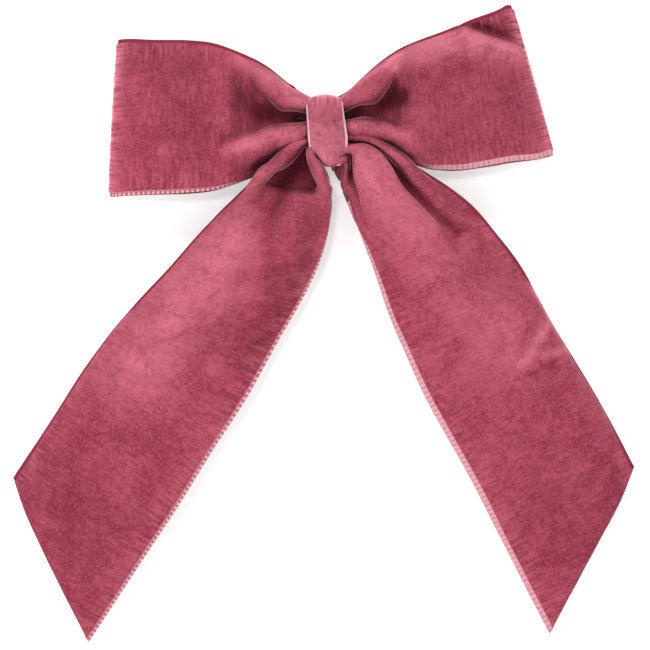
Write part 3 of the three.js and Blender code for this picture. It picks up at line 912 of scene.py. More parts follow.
    def _painted_fold_shade(self, g: Graph, colour: bpy.types.NodeSocket,
              facing: bpy.types.NodeSocket) -> bpy.types.NodeSocket:
        """Painted shade: darkens the pile deep between folds by ambient occlusion, except where it is seen
        edge-on.
        """
        unshaded_share = g.calculate("POWER", g.ramp(g.unshaded_share(8, self.shade_reach), 0.14, 0.96), 1.9)
        lit_rim = g.times(g.ramp(facing, 0.45, 0.95), 0.75)
        return g.mix(g.larger(unshaded_share, lit_rim), self.painted_shade, colour)


@dataclass(frozen=True)
class RibbonBackFinish:
    """The ribbon's flat woven reverse, dull brown-mauve with fine ribs, and painted shade where folds close
    round it.
    """

    name: str = "ribbon_reverse"
    dark: Colour = rgb(0.085, 0.022, 0.024)
    light: Colour = rgb(0.21, 0.058, 0.062)
    shade_amount: float = 1.0
    painted_shade: Colour = rgb(0.02, 0.003, 0.005)
    rib_relief: float = 0.12 * MM

    def make(self, effects: Effects) -> bpy.types.Material:
        """Builds the material."""
        material, g, shader = new_material(self.name)
        flat = g.flat_place()
        rows = use_group(g, effects.rows, Place=flat, Along=11000.0, Across=7000.0)
        grain = use_group(g, effects.grain, Place=flat, Scale=260.0)
        share = g.times(rows["Mask"], g.plus(grain["Mask"], 0.35), clamp=True)
        # Painted shade by ambient occlusion where folds close round the reverse.
        unshaded_share = g.ramp(g.unshaded_share(6, 9.0 * MM), 0.2, 0.75)
        shade = g.plus(g.times(unshaded_share, self.shade_amount), 1 - self.shade_amount)
        g.join(g.mix(shade, self.painted_shade, g.mix(share, self.dark, self.light)), shader.inputs["Base Color"])
        settle(shader, {"Roughness": 0.74, "Specular IOR Level": 0.25, "Sheen Weight": 0.15})
        rough_up(g, shader, rows["Height"], 0.4, self.rib_relief)
        return material


@dataclass(frozen=True)
class ThreadFinish:
    """Twisted polyester sewing thread."""

    name: str = "rose_thread"
    dark: Colour = rgb(0.16, 0.022, 0.040)
    light: Colour = rgb(0.42, 0.10, 0.14)

    def make(self, effects: Effects) -> bpy.types.Material:
        """Builds the material."""
        material, g, shader = new_material(self.name)
        place = g.place()
        grain = use_group(g, effects.grain, Place=g.stretch(place, 1.0, 0.4, 0.4), Scale=3200.0)
        g.join(g.mix(grain["Mask"], self.dark, self.light), shader.inputs["Base Color"])
        settle(shader, {"Roughness": 0.5, "Sheen Weight": 0.2})
        rough_up(g, shader, grain["Height"], 0.5, 0.1 * MM)
        return material


@dataclass(frozen=True)
class FeltFinish:
    """Pressed wool felt, matted and slightly fluffy."""

    name: str = "rose_felt"
    dark: Colour = rgb(0.22, 0.045, 0.065)
    light: Colour = rgb(0.40, 0.12, 0.15)

    def make(self, effects: Effects) -> bpy.types.Material:
        """Builds the material."""
        material, g, shader = new_material(self.name)
        place = g.place()
        hairs = g.noise(g.stretch(place, 2200.0, 2200.0, 500.0), 1.0, 3.0, 0.6, 1.4)
        grain = use_group(g, effects.grain, Place=place, Scale=1100.0)
        share = g.times(g.ramp(hairs, 0.35, 0.65), g.plus(grain["Mask"], 0.3), clamp=True)
        g.join(g.mix(share, self.dark, self.light), shader.inputs["Base Color"])
        settle(shader, {"Roughness": 0.95, "Sheen Weight": 0.5})
        rough_up(g, shader, hairs, 0.7, 0.25 * MM)
        return material


@dataclass(frozen=True)
class GlueFinish:
    """Set hot glue: cloudy, rounded and a little stringy."""

    name: str = "set_glue"
    clear: Colour = rgb(0.72, 0.66, 0.55)
    cloudy: Colour = rgb(0.86, 0.82, 0.74)

    def make(self, effects: Effects) -> bpy.types.Material:
        """Builds the material."""
        material, g, shader = new_material(self.name)
        place = g.place()
        grain = use_group(g, effects.grain, Place=place, Scale=340.0)
        g.join(g.mix(grain["Mask"], self.clear, self.cloudy), shader.inputs["Base Color"])
        g.join(g.plus(g.times(grain["Mask"], 0.2), 0.22), shader.inputs["Roughness"])
        settle(shader, {"Subsurface Weight": 0.35, "Subsurface Scale": 1.0 * MM})
        rough_up(g, shader, grain["Height"], 0.3, 0.3 * MM)
        return material


@dataclass(frozen=True)
class SteelFinish:
    """Stamped steel with a thin bright plating, rubbed on its edges."""

    name: str
    plating: Colour
    rubbed: Colour
    roughness: float
    wear: float

    def make(self, effects: Effects) -> bpy.types.Material:
        """Builds the material."""
        material, g, shader = new_material(self.name)
        place = g.place()
        worn = use_group(g, effects.wear, Place=place, Amount=self.wear)
        grain = use_group(g, effects.grain, Place=place, Scale=520.0)
        rubbed = g.larger(worn["Edge"], g.times(worn["Scratch"], 0.4))
        tone = g.mix(g.times(grain["Mask"], 0.16), self.plating, rgb(0.30, 0.29, 0.28))
        g.join(g.mix(rubbed, tone, self.rubbed), shader.inputs["Base Color"])
        settle(shader, {"Metallic": 1.0})
        rough = g.plus(g.times(grain["Mask"], 0.13), self.roughness)
        g.join(g.plus(rough, g.times(rubbed, 0.12)), shader.inputs["Roughness"])
        rough_up(g, shader, worn["Scratch"], 0.12, 0.03 * MM)
        return material


# --------------------------------------------------------------------- pieces


def add_object(name: str, mesh: bpy.types.Mesh) -> bpy.types.Object:
    """Puts a mesh in the scene at the origin."""
    piece = bpy.data.objects.new(name, mesh)
    bpy.context.scene.collection.objects.link(piece)
    return piece


def mesh_object(name: str, bm: bmesh.types.BMesh,
                finish: bpy.types.Material | None = None) -> bpy.types.Object:
    """Turns a finished shape into an object, with its material if it has one yet."""
    mesh = bpy.data.meshes.new(name)
    bm.to_mesh(mesh)
    bm.free()
    if finish:
        mesh.materials.clear()
        mesh.materials.append(finish)
    return add_object(name, mesh)


def shade(piece: bpy.types.Object, smooth: bool) -> bpy.types.Object:
    """Makes all of a piece's faces smooth or flat."""
    for face in piece.data.polygons:
        face.use_smooth = smooth
    return piece


def apply_modifiers(piece: bpy.types.Object) -> None:
    """Makes the result of a piece's modifiers its own mesh."""
    graph = bpy.context.evaluated_depsgraph_get()
    made = bpy.data.meshes.new_from_object(piece.evaluated_get(graph))
    piece.modifiers.clear()
    old = piece.data
    piece.data = made
    bpy.data.meshes.remove(old)
    made.name = piece.name


def mount(piece: bpy.types.Object, body: Body, slot: Slot, *nodes: str) -> None:
    """Fixes a piece to its body and lets it stand for its plain solids.

    Args:
        piece: the finished piece.
        body: the body it moves with.
        slot: the record's slot for its finish; not used.
        nodes: the solids that it stands for.
    """
    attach(piece, body.value)
    if nodes:
        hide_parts(*nodes)
    faces = sum(len(p.vertices) - 2 for p in piece.data.polygons)
    log.info("%s: %d triangles, on %s", piece.name, faces, body.value)


@dataclass
class RibbonMaker:
    """Turns a folded ribbon into a closed sheet with pile, ground and bare selvedges.

    Attributes:
        calm_reach: how far from a fold the cloth's waves are back at full height.
        calmest: share of their height that the waves keep at a fold.
        combed_reach: how far from a fold its pile stands open.
    """

    weave: Weave
    velvet: bpy.types.Material
    reverse: bpy.types.Material
    turned_aside: ClassVar[float] = 0.6
    calm_reach: ClassVar[float] = 9.0 * MM
    calmest: ClassVar[float] = 0.15
    combed_reach: ClassVar[float] = 3.4 * MM
    dented_facing: ClassVar[float] = 0.3

    def sheet(self, name: str, ribbon: FoldedRibbon, rumple: Rumple, start: float | np.ndarray = 0.0,
              cut: float | np.ndarray = 0.0, dents: Sequence[Dent] = (),
              shade_strokes: Sequence[LightShadeStroke] = ()) -> bpy.types.Object:
        """Builds the sheet.

        Args:
            name: the piece's name.
            ribbon: the folded shape.
            rumple: the waves in the cloth.
            start: length cut off its start, for each column.
            cut: length cut off its end, for each column.
            dents: short creases in it.
            shade_strokes: painted highlights and painted shade on its pile.

        Returns:
            The piece.
        """
        columns = self.weave.columns(ribbon.width)
        start, end = start * np.ones_like(columns), ribbon.length - cut * np.ones_like(columns)
        count = int((end - start).mean() / self.weave.row_gap)
        share = np.linspace(0, 1, count + 1)[:, None]
        run = start[None, :] * (1 - share) + end[None, :] * share
        wide = columns[None, :] * np.ones_like(run)
        points = ribbon.at(run, wide, ribbon.points)
        opened_and_lit = ribbon.at(run, wide, ribbon.opened_and_lit[..., None])[..., 0]
        out = ribbon.facing(run)
        from_fold = self._from_fold(run.mean(axis=1), out)
        calm = np.clip(from_fold / self.calm_reach, self.calmest, 1)[:, None]
        points = points + out * (calm * rumple.waves(run, columns[None, :]))[..., None]
        for dent in dents:
            front = (out[..., 1] < -self.dented_facing) * dent.lift(points)
            points = points - out * front[..., None]
        piece = self._grid(name, points, run, columns)
        # Painted highlight and painted shade, kept to faces towards the front.
        light_and_shade = sum((shade_stroke.light_and_shade(points) for shade_stroke in shade_strokes), np.zeros_like(run))
        self._mark(piece, "light_and_shade", light_and_shade * np.clip(-out[..., 1], 0, 1))
        self._mark(piece, "combed", np.exp(-(from_fold / self.combed_reach))[:, None] * np.ones_like(run))
        self._thicken(piece, columns, opened_and_lit, out, ribbon.width)
        return piece

    def _from_fold(self, run: np.ndarray, out: np.ndarray) -> np.ndarray:
        """Distance of each row from the nearest row where the ribbon turns round.

        Args:
            run: distance along the ribbon, by row.
            out: outward direction by row and column.

        Returns:
            The distances, or a metre everywhere if the ribbon does not turn round.
        """
        turning = np.where((np.abs(out[..., 1]) < self.turned_aside).all(axis=1))[0]
        if not len(turning):
            return np.ones(len(run))
        return np.abs(run[:, None] - run[turning][None, :]).min(axis=1)

    @staticmethod
    def _mark(piece: bpy.types.Object, name: str, values: np.ndarray) -> None:
        """Lays a value on each of the mesh's points, for the finish to read."""
        attribute = piece.data.attributes.new(name, "FLOAT", "POINT")
        attribute.data.foreach_set("value", values.reshape(-1).astype(np.float32))

    @staticmethod
    def _grid(name: str, points: np.ndarray, run: np.ndarray, columns: np.ndarray) -> bpy.types.Object:
        """Shapes a flat grid into the ribbon's surface.

        Args:
            name: the piece's name.
            points: surface points by row and column.
            run: flat distance along, by row and column.
            columns: flat distance across of each column.

        Returns:
            The open surface, with its flat places as UV.
        """
        rows, cols = points.shape[:2]
        bm = bmesh.new()
        bmesh.ops.create_grid(bm, x_segments=cols - 1, y_segments=rows - 1, size=1.0)
        layer = bm.loops.layers.uv.new("flat")
        bm.verts.ensure_lookup_table()
        flat = {}
        for vert in bm.verts:
            i = round((vert.co.y + 1) / 2 * (rows - 1))
            j = round((vert.co.x + 1) / 2 * (cols - 1))
            flat[vert.index] = (float(run[i, j]), float(columns[j]))
            vert.co = Vector(points[i, j])
        for face in bm.faces:
            for loop in face.loops:
                loop[layer].uv = flat[loop.vert.index]
            face.smooth = True
        return mesh_object(name, bm)

    def _thicken(self, piece: bpy.types.Object, columns: np.ndarray, opened_and_lit: np.ndarray, out: np.ndarray,
                 width: float) -> None:
        """Turns the pile outward, lowers the bare selvedges, and gives the sheet its thickness.

        Args:
            piece: the open surface.
            columns: flat distance across of each column.
            opened_and_lit: how far gathering opens the pile, by row and column, with the painted highlight
                on ridges.
            out: outward direction by row and column.
            width: the ribbon's width.
        """
        mesh = piece.data
        normals = np.zeros(len(mesh.vertices) * 3)
        mesh.vertex_normals.foreach_get("vector", normals)
        normals, out = normals.reshape(-1, 3), out.reshape(-1, 3)
        if (normals * out).sum() < 0:
            mesh.flip_normals()
            normals = -normals
        full = np.tile(self.weave.fullness(columns, width), len(opened_and_lit))
        points = np.zeros(len(mesh.vertices) * 3)
        mesh.vertices.foreach_get("co", points)
        points = points.reshape(-1, 3) - normals * ((1 - full) * self.weave.pile)[:, None]
        # The bend mark carries painted sheen on leaning walls and painted highlight where the ribbon is
        # gathered.
        self._mark(piece, "bend", self._wall_sheen((normals * out).sum(axis=1), opened_and_lit.reshape(-1)))
        mesh.vertices.foreach_set("co", points.reshape(-1))
        mesh.update()
        total = self.weave.pile + self.weave.ground
        group = piece.vertex_groups.new(name="fullness")
        alike = 0.001
        for level in np.unique(np.round(full, 3)):
            members = np.nonzero(np.abs(full - level) < alike)[0]
            share = float((self.weave.ground + level * self.weave.pile) / total)
            group.add([int(m) for m in members], share, "REPLACE")
        mesh.materials.append(self.velvet)
        mesh.materials.append(self.reverse)
        wall = piece.modifiers.new("thickness", "SOLIDIFY")
        wall.thickness = total
        wall.offset = -1.0
        wall.vertex_group = "fullness"
        wall.thickness_vertex_group = 0.0
        wall.material_offset = 1
        wall.material_offset_rim = 0
        wall.use_quality_normals = True
        apply_modifiers(piece)
        piece.vertex_groups.clear()

    @staticmethod
    def _wall_sheen(upright: np.ndarray, opened_and_lit: np.ndarray) -> np.ndarray:
        """How much painted light each point gets: painted sheen on walls that lean, and painted highlight
        where the ribbon is gathered, partly for its real opening pile.

        Args:
            upright: how squarely each point faces outward.
            opened_and_lit: how far gathering opens the pile there, with the painted highlight on ridges.

        Returns:
            The painted lightening, from 0 to 1.
        """
        slack, full_lean = 0.08, 0.7
        lean = np.clip((1 - np.abs(upright) - slack) / full_lean, 0, 1) * np.clip(0.35 + opened_and_lit, 0, 1)
        return np.clip(0.75 * lean + 0.6 * opened_and_lit, 0, 1)


FRONT: Point = (0.0, -1.0, 0.0)
REAR: Point = (0.0, 1.0, 0.0)


def facing_front(first: Spot, last: Spot, ridge: float, **folds: object) -> Station:
    """A station whose pile faces the front.

    Args:
        first: (x, z) of the first selvedge.
        last: (x, z) of the last selvedge.
        ridge: y of its highest ridge.
        folds: its tucks and pleats.

    Returns:
        The station.
    """
    return Station((first[0], ridge, first[1]), (last[0], ridge, last[1]), FRONT, **folds)


def facing_rear(first: Spot, last: Spot, ridge: float, **folds: object) -> Station:
    """A station whose pile faces the head, given as facing_front's are."""
    return Station((first[0], ridge, first[1]), (last[0], ridge, last[1]), REAR, **folds)


@dataclass
class LoopRibbon:
    """One length of ribbon folded into both loops, its two ends overlapping behind the middle.

    Attributes:
        plate_front, plate_radius, plate_half: front, curve and half length of the clip plate.
        lift_off_plate: gap from the plate to the rear layer.
        rear_depth, rear_slope: depth of the rear layer past the plate, and how it slopes outwards.
        rear_overlap: how far each end passes the middle.
        shut_reach: distance from the middle at which front and rear have almost the same outline.
        inset_middle, inset_lost: the rear's inset at the middle, and how much of it is lost by then.
        fold_radius, fold_middle: roundness and depth of the outer folds.
    """

    plate_front: float = -4.3
    plate_radius: float = 110.0
    plate_half: float = 40.0
    lift_off_plate: float = 1.9
    rear_depth: float = -6.9
    rear_slope: float = 0.02
    rear_overlap: float = 3.0
    shut_reach: float = 42.0
    inset_middle: float = 0.06
    inset_lost: float = 0.055
    fold_radius: float = 2.5
    fold_middle: float = -1.9
    gathers: int = 7
    rumple: Rumple = Rumple(seed=11)
    name: str = "loop_ribbon_velvet"

    def behind(self, x: float) -> float:
        """Depth of the rear layer where it lies along the clip plate."""
        rise = self.plate_radius - math.sqrt(self.plate_radius**2 - min(abs(x), self.plate_half) ** 2)
        return self.plate_front + rise - self.lift_off_plate

    def left_front(self) -> list[Station]:
        """Front of the left loop, from its outer fold in to the knot."""
        none = Pleat(40.0, 3.0, 0.0, 0.0)
        rolled = (Tuck(1.0, 7.0), Tuck(0.8, 8.0))
        return [
            facing_front((-64.0, 29.7), (-67.0, -21.7), -5.3, tucks=rolled),
            facing_front((-57.0, 29.4), (-59.5, -21.3), -8.0, tucks=rolled),
            facing_front((-46.5, 29.0), (-48.0, -21.0), -11.6, tucks=rolled),
            facing_front((-38.0, 28.0), (-38.5, -20.3), -14.2, tucks=(Tuck(0.8, 12.0), Tuck(0.8, 12.0)),
                         pleats=(Pleat(20.0, 14.0, 0.0, 0.06, 3.4), none)),
            facing_front((-32.0, 26.1), (-32.2, -18.9), -15.4, tucks=(Tuck(0.7, 9.0), Tuck(0.7, 10.0)),
                         pleats=(Pleat(19.9, 13.9, 0.05, 0.42, 2.6), none)),
            facing_front((-26.1, 23.6), (-26.3, -17.0), -16.2, tucks=(Tuck(0.62, 6.5), Tuck(0.7, 8.0)),
                         pleats=(Pleat(19.1, 10.4, 0.42, 0.9, 2.3), none)),
            facing_front((-22.6, 22.0), (-22.8, -15.6), -16.5, tucks=(Tuck(0.7, 5.0), Tuck(0.8, 6.5)),
                         pleats=(Pleat(21.0, 8.3, 0.95, 1.0, 2.5), none)),
            facing_front((-18.1, 19.5), (-18.3, -13.2), -16.7, tucks=(Tuck(0.85, 4.4), Tuck(0.9, 6.0)),
                         pleats=(Pleat(23.3, 5.3, 1.0, 1.0, 2.9), none)),
            facing_front((-14.5, 16.4), (-14.7, -10.4), -16.6, tucks=(Tuck(0.95, 4.4), Tuck(1.0, 6.2)),
                         pleats=(Pleat(24.8, 3.5, 1.0, 1.0, 3.5), none)),
            facing_front((-11.0, 13.6), (-11.2, -7.6), -16.3, tucks=(Tuck(1.0, 4.8), Tuck(1.0, 6.0)),
                         pleats=(Pleat(24.9, 4.0, 1.0, 1.0, 4.2), none)),
            facing_front((-7.0, 10.8), (-7.2, -4.6), -15.6, tucks=(Tuck(1.0, 5.2), Tuck(1.0, 5.6)),
                         pleats=(Pleat(24.7, 4.5, 1.0, 1.0, 4.8), none)),
        ]

    def right_front(self) -> list[Station]:
        """Front of the right loop, from the knot out to its fold, which is tipped upwards."""
        none = Pleat(40.0, 3.0, 0.0, 0.0)
        return [
            facing_front((7.0, 12.2), (7.2, -4.4), -15.6, tucks=(Tuck(1.0, 5.2), Tuck(1.0, 5.6)),
                         pleats=(Pleat(24.5, 4.4, 1.0, 1.0, 4.8), none)),
            facing_front((11.0, 16.3), (11.6, -5.8), -16.3, tucks=(Tuck(1.0, 4.8), Tuck(1.0, 6.0)),
                         pleats=(Pleat(25.6, 3.8, 1.0, 1.0, 4.1), none)),
            facing_front((15.0, 20.0), (16.6, -7.6), -16.6, tucks=(Tuck(0.95, 4.4), Tuck(1.0, 6.2)),
                         pleats=(Pleat(26.6, 3.8, 1.0, 1.0, 3.5), none)),
            facing_front((19.0, 23.1), (21.6, -9.5), -16.7, tucks=(Tuck(0.9, 4.6), Tuck(0.9, 6.4)),
                         pleats=(Pleat(25.0, 6.7, 1.0, 0.9, 2.8), none)),
            facing_front((23.8, 25.9), (27.4, -11.6), -16.7, tucks=(Tuck(0.85, 6.0), Tuck(0.8, 7.5)),
                         pleats=(Pleat(23.0, 10.6, 0.8, 0.45, 2.3), none)),
            facing_front((29.4, 28.2), (33.8, -13.4), -16.6, tucks=(Tuck(0.9, 8.5), Tuck(0.75, 9.0)),
                         pleats=(Pleat(22.0, 12.5, 0.12, 0.08, 2.6), none)),
            facing_front((36.0, 30.9), (41.8, -13.5), -14.6, tucks=(Tuck(1.0, 10.0), Tuck(0.7, 11.0))),
            facing_front((43.4, 34.1), (51.2, -12.2), -12.9, tucks=(Tuck(1.0, 11.0), Tuck(0.6, 12.0))),
            facing_front((51.0, 37.3), (61.4, -10.4), -9.8, tucks=(Tuck(0.9, 12.0), Tuck(0.5, 12.0))),
            facing_front((56.6, 39.7), (69.6, -9.6), -5.6, tucks=(Tuck(0.3, 7.0), Tuck(0.3, 7.0))),
        ]

    def gathering(self, amount: float) -> tuple[Pleat, ...]:
        """Narrow pleats spread evenly over the rear layer, drawn in by the amount."""
        return tuple(Pleat(3.9 + 7.35 * k, 1.8, amount, amount, 1.3) for k in range(self.gathers))

    def rear_half(self, front: Sequence[Station]) -> list[Station]:
        """Rear layer of one loop, from the middle out to the fold, a little inside the front's outline.

        Args:
            front: the loop's front stations, from the knot outwards.

        Returns:
            The stations.
        """
        stations = []
        overlap = math.copysign(self.rear_overlap, -front[0].first[0])
        knot = replace(front[0], first=(overlap, 0.0, 7.6), last=(overlap, 0.0, -2.4))
        for station in [knot, *front]:
            first, last = np.array(station.first), np.array(station.last)
            reach = abs(first[0] + last[0]) / 2
            shut = min(1.0, reach / self.shut_reach)
            inset = (last - first) * (self.inset_middle - self.inset_lost * shut)
            beyond_plate = max(0.0, reach - self.plate_half)
            depth = max(self.behind(reach), self.rear_depth) - beyond_plate * self.rear_slope
            top, bottom = first + inset, last - inset
            stations.append(facing_rear((top[0], top[2]), (bottom[0], bottom[2]), depth,
                                        tucks=(Tuck(0.3, 1.4), Tuck(0.3, 1.4)), pleats=self.gathering(1.0)))
        return stations

    def fold(self, side: float, first: Spot, last: Spot) -> list[Station]:
        """The outer fold of a loop, from its rear round to its front, a little bulged at the turn.

        Args:
            side: -1 for the left loop, 1 for the right.
            first: (x, z) of the top of the fold.
            last: (x, z) of the bottom of the fold.

        Returns:
            The stations.
        """
        out = []
        level = (Tuck(0.0, 7.0), Tuck(0.0, 7.0))
        for turn, bulge in ((20.0, 0.0), (55.0, 0.2), (90.0, 0.7), (125.0, 0.2), (158.0, 0.0)):
            angle = math.radians(turn)
            inward = side * self.fold_radius * (1 - math.sin(angle))
            depth = self.fold_middle + self.fold_radius * math.cos(angle)
            out.append(Station((first[0] - inward, depth, first[1] - bulge),
                               (last[0] - inward, depth, last[1] + bulge),
                               (side * math.sin(angle), math.cos(angle), 0.0), level, self.gathering(0.0)))
        return out

    def stations(self) -> list[Station]:
        """All stations, from one end behind the middle, round both loops, to the other end."""
        left_rear = self.rear_half(self.left_front()[::-1])
        right_rear = self.rear_half(self.right_front())
        left_turn = self.fold(-1.0, (-69.2, 29.7), (-72.0, -22.0))
        right_turn = self.fold(1.0, (61.1, 40.9), (74.7, -8.5))
        folds = {"tucks": (Tuck(1.0, 5.2), Tuck(1.0, 5.6)),
                 "pleats": (Pleat(24.7, 4.6, 1.0, 1.0, 4.8), Pleat(40.0, 3.0, 0.0, 0.0))}
        middle = [facing_front((x, top), (x, -3.0), ridge, **folds)
                  for x, top, ridge in ((-5.2, 9.3, -15.6), (0.0, 8.2, -14.6), (5.2, 9.8, -15.6))]
        return [*left_rear, *left_turn, *self.left_front(), *middle, *self.right_front(), *right_turn[::-1],
                *right_rear[::-1]]

    @staticmethod
    def creases() -> tuple[Dent, ...]:
        """The right loop's long crease, the dimple by the knot and the left loop's hollow."""
        return (
            Dent((43.0, 34.4), (67.0, 26.2), 2.6, 3.4, True),
            Dent((-11.2, 13.4), (-12.6, 10.6), 1.1, 1.0), Dent((-40.0, 6.0), (-33.0, 14.0), 0.5, 4.0),
        )

    @staticmethod
    def light_and_shade_strokes() -> tuple[LightShadeStroke, ...]:
        """Painted highlights and painted shade on the loops' pile: lit bands, dark recesses and creases,
        and broad darker areas.
        """
        return (
            LightShadeStroke((22.0, 21.0), (36.0, 28.0), 5.0, 0.70), LightShadeStroke((36.0, 28.6), (62.0, 25.5), 4.4, 0.95),
            LightShadeStroke((47.0, 34.6), (66.0, 28.4), 1.8, -1.0), LightShadeStroke((45.0, 31.2), (60.0, 26.8), 1.7, 0.8),
            LightShadeStroke((54.0, 36.4), (62.0, 34.0), 3.0, -0.25),
            LightShadeStroke((-22.0, 3.6), (-17.0, 3.4), 4.4, -0.62),
            LightShadeStroke((-27.0, 9.0), (-20.0, 6.0), 4.6, -0.55), LightShadeStroke((18.0, 7.2), (23.6, 8.6), 3.6, -0.9),
            LightShadeStroke((24.0, 12.0), (27.0, 16.0), 3.6, -0.4),
            LightShadeStroke((-33.0, -4.0), (-29.0, -3.2), 1.8, -0.7),
            LightShadeStroke((-30.0, -6.0), (-12.0, -0.5), 3.2, 0.65), LightShadeStroke((9.0, 1.2), (26.0, -3.2), 2.8, 0.40),
            LightShadeStroke((-28.0, 22.5), (-9.0, 8.5), 2.8, 0.50),
            LightShadeStroke((-46.0, 14.0), (-44.0, -8.0), 9.0, -0.18),
            LightShadeStroke((36.0, 0.0), (66.0, 8.0), 13.0, -0.16),
            LightShadeStroke((-62.0, 24.0), (-50.0, 22.0), 6.0, -0.2),
        )

    def build(self, maker: RibbonMaker) -> None:
        """Builds the loops as one sheet, with the maker of the wide ribbon."""
        ribbon = FoldedRibbon(self.stations(), softness=4.5)
        piece = maker.sheet(self.name, ribbon, self.rumple, dents=self.creases(), shade_strokes=self.light_and_shade_strokes())
        mount(piece, Body.BOW, Slot.VELVET, "loop_ribbon")
        log.info("loop ribbon: flat length %.1f mm", ribbon.length / MM)


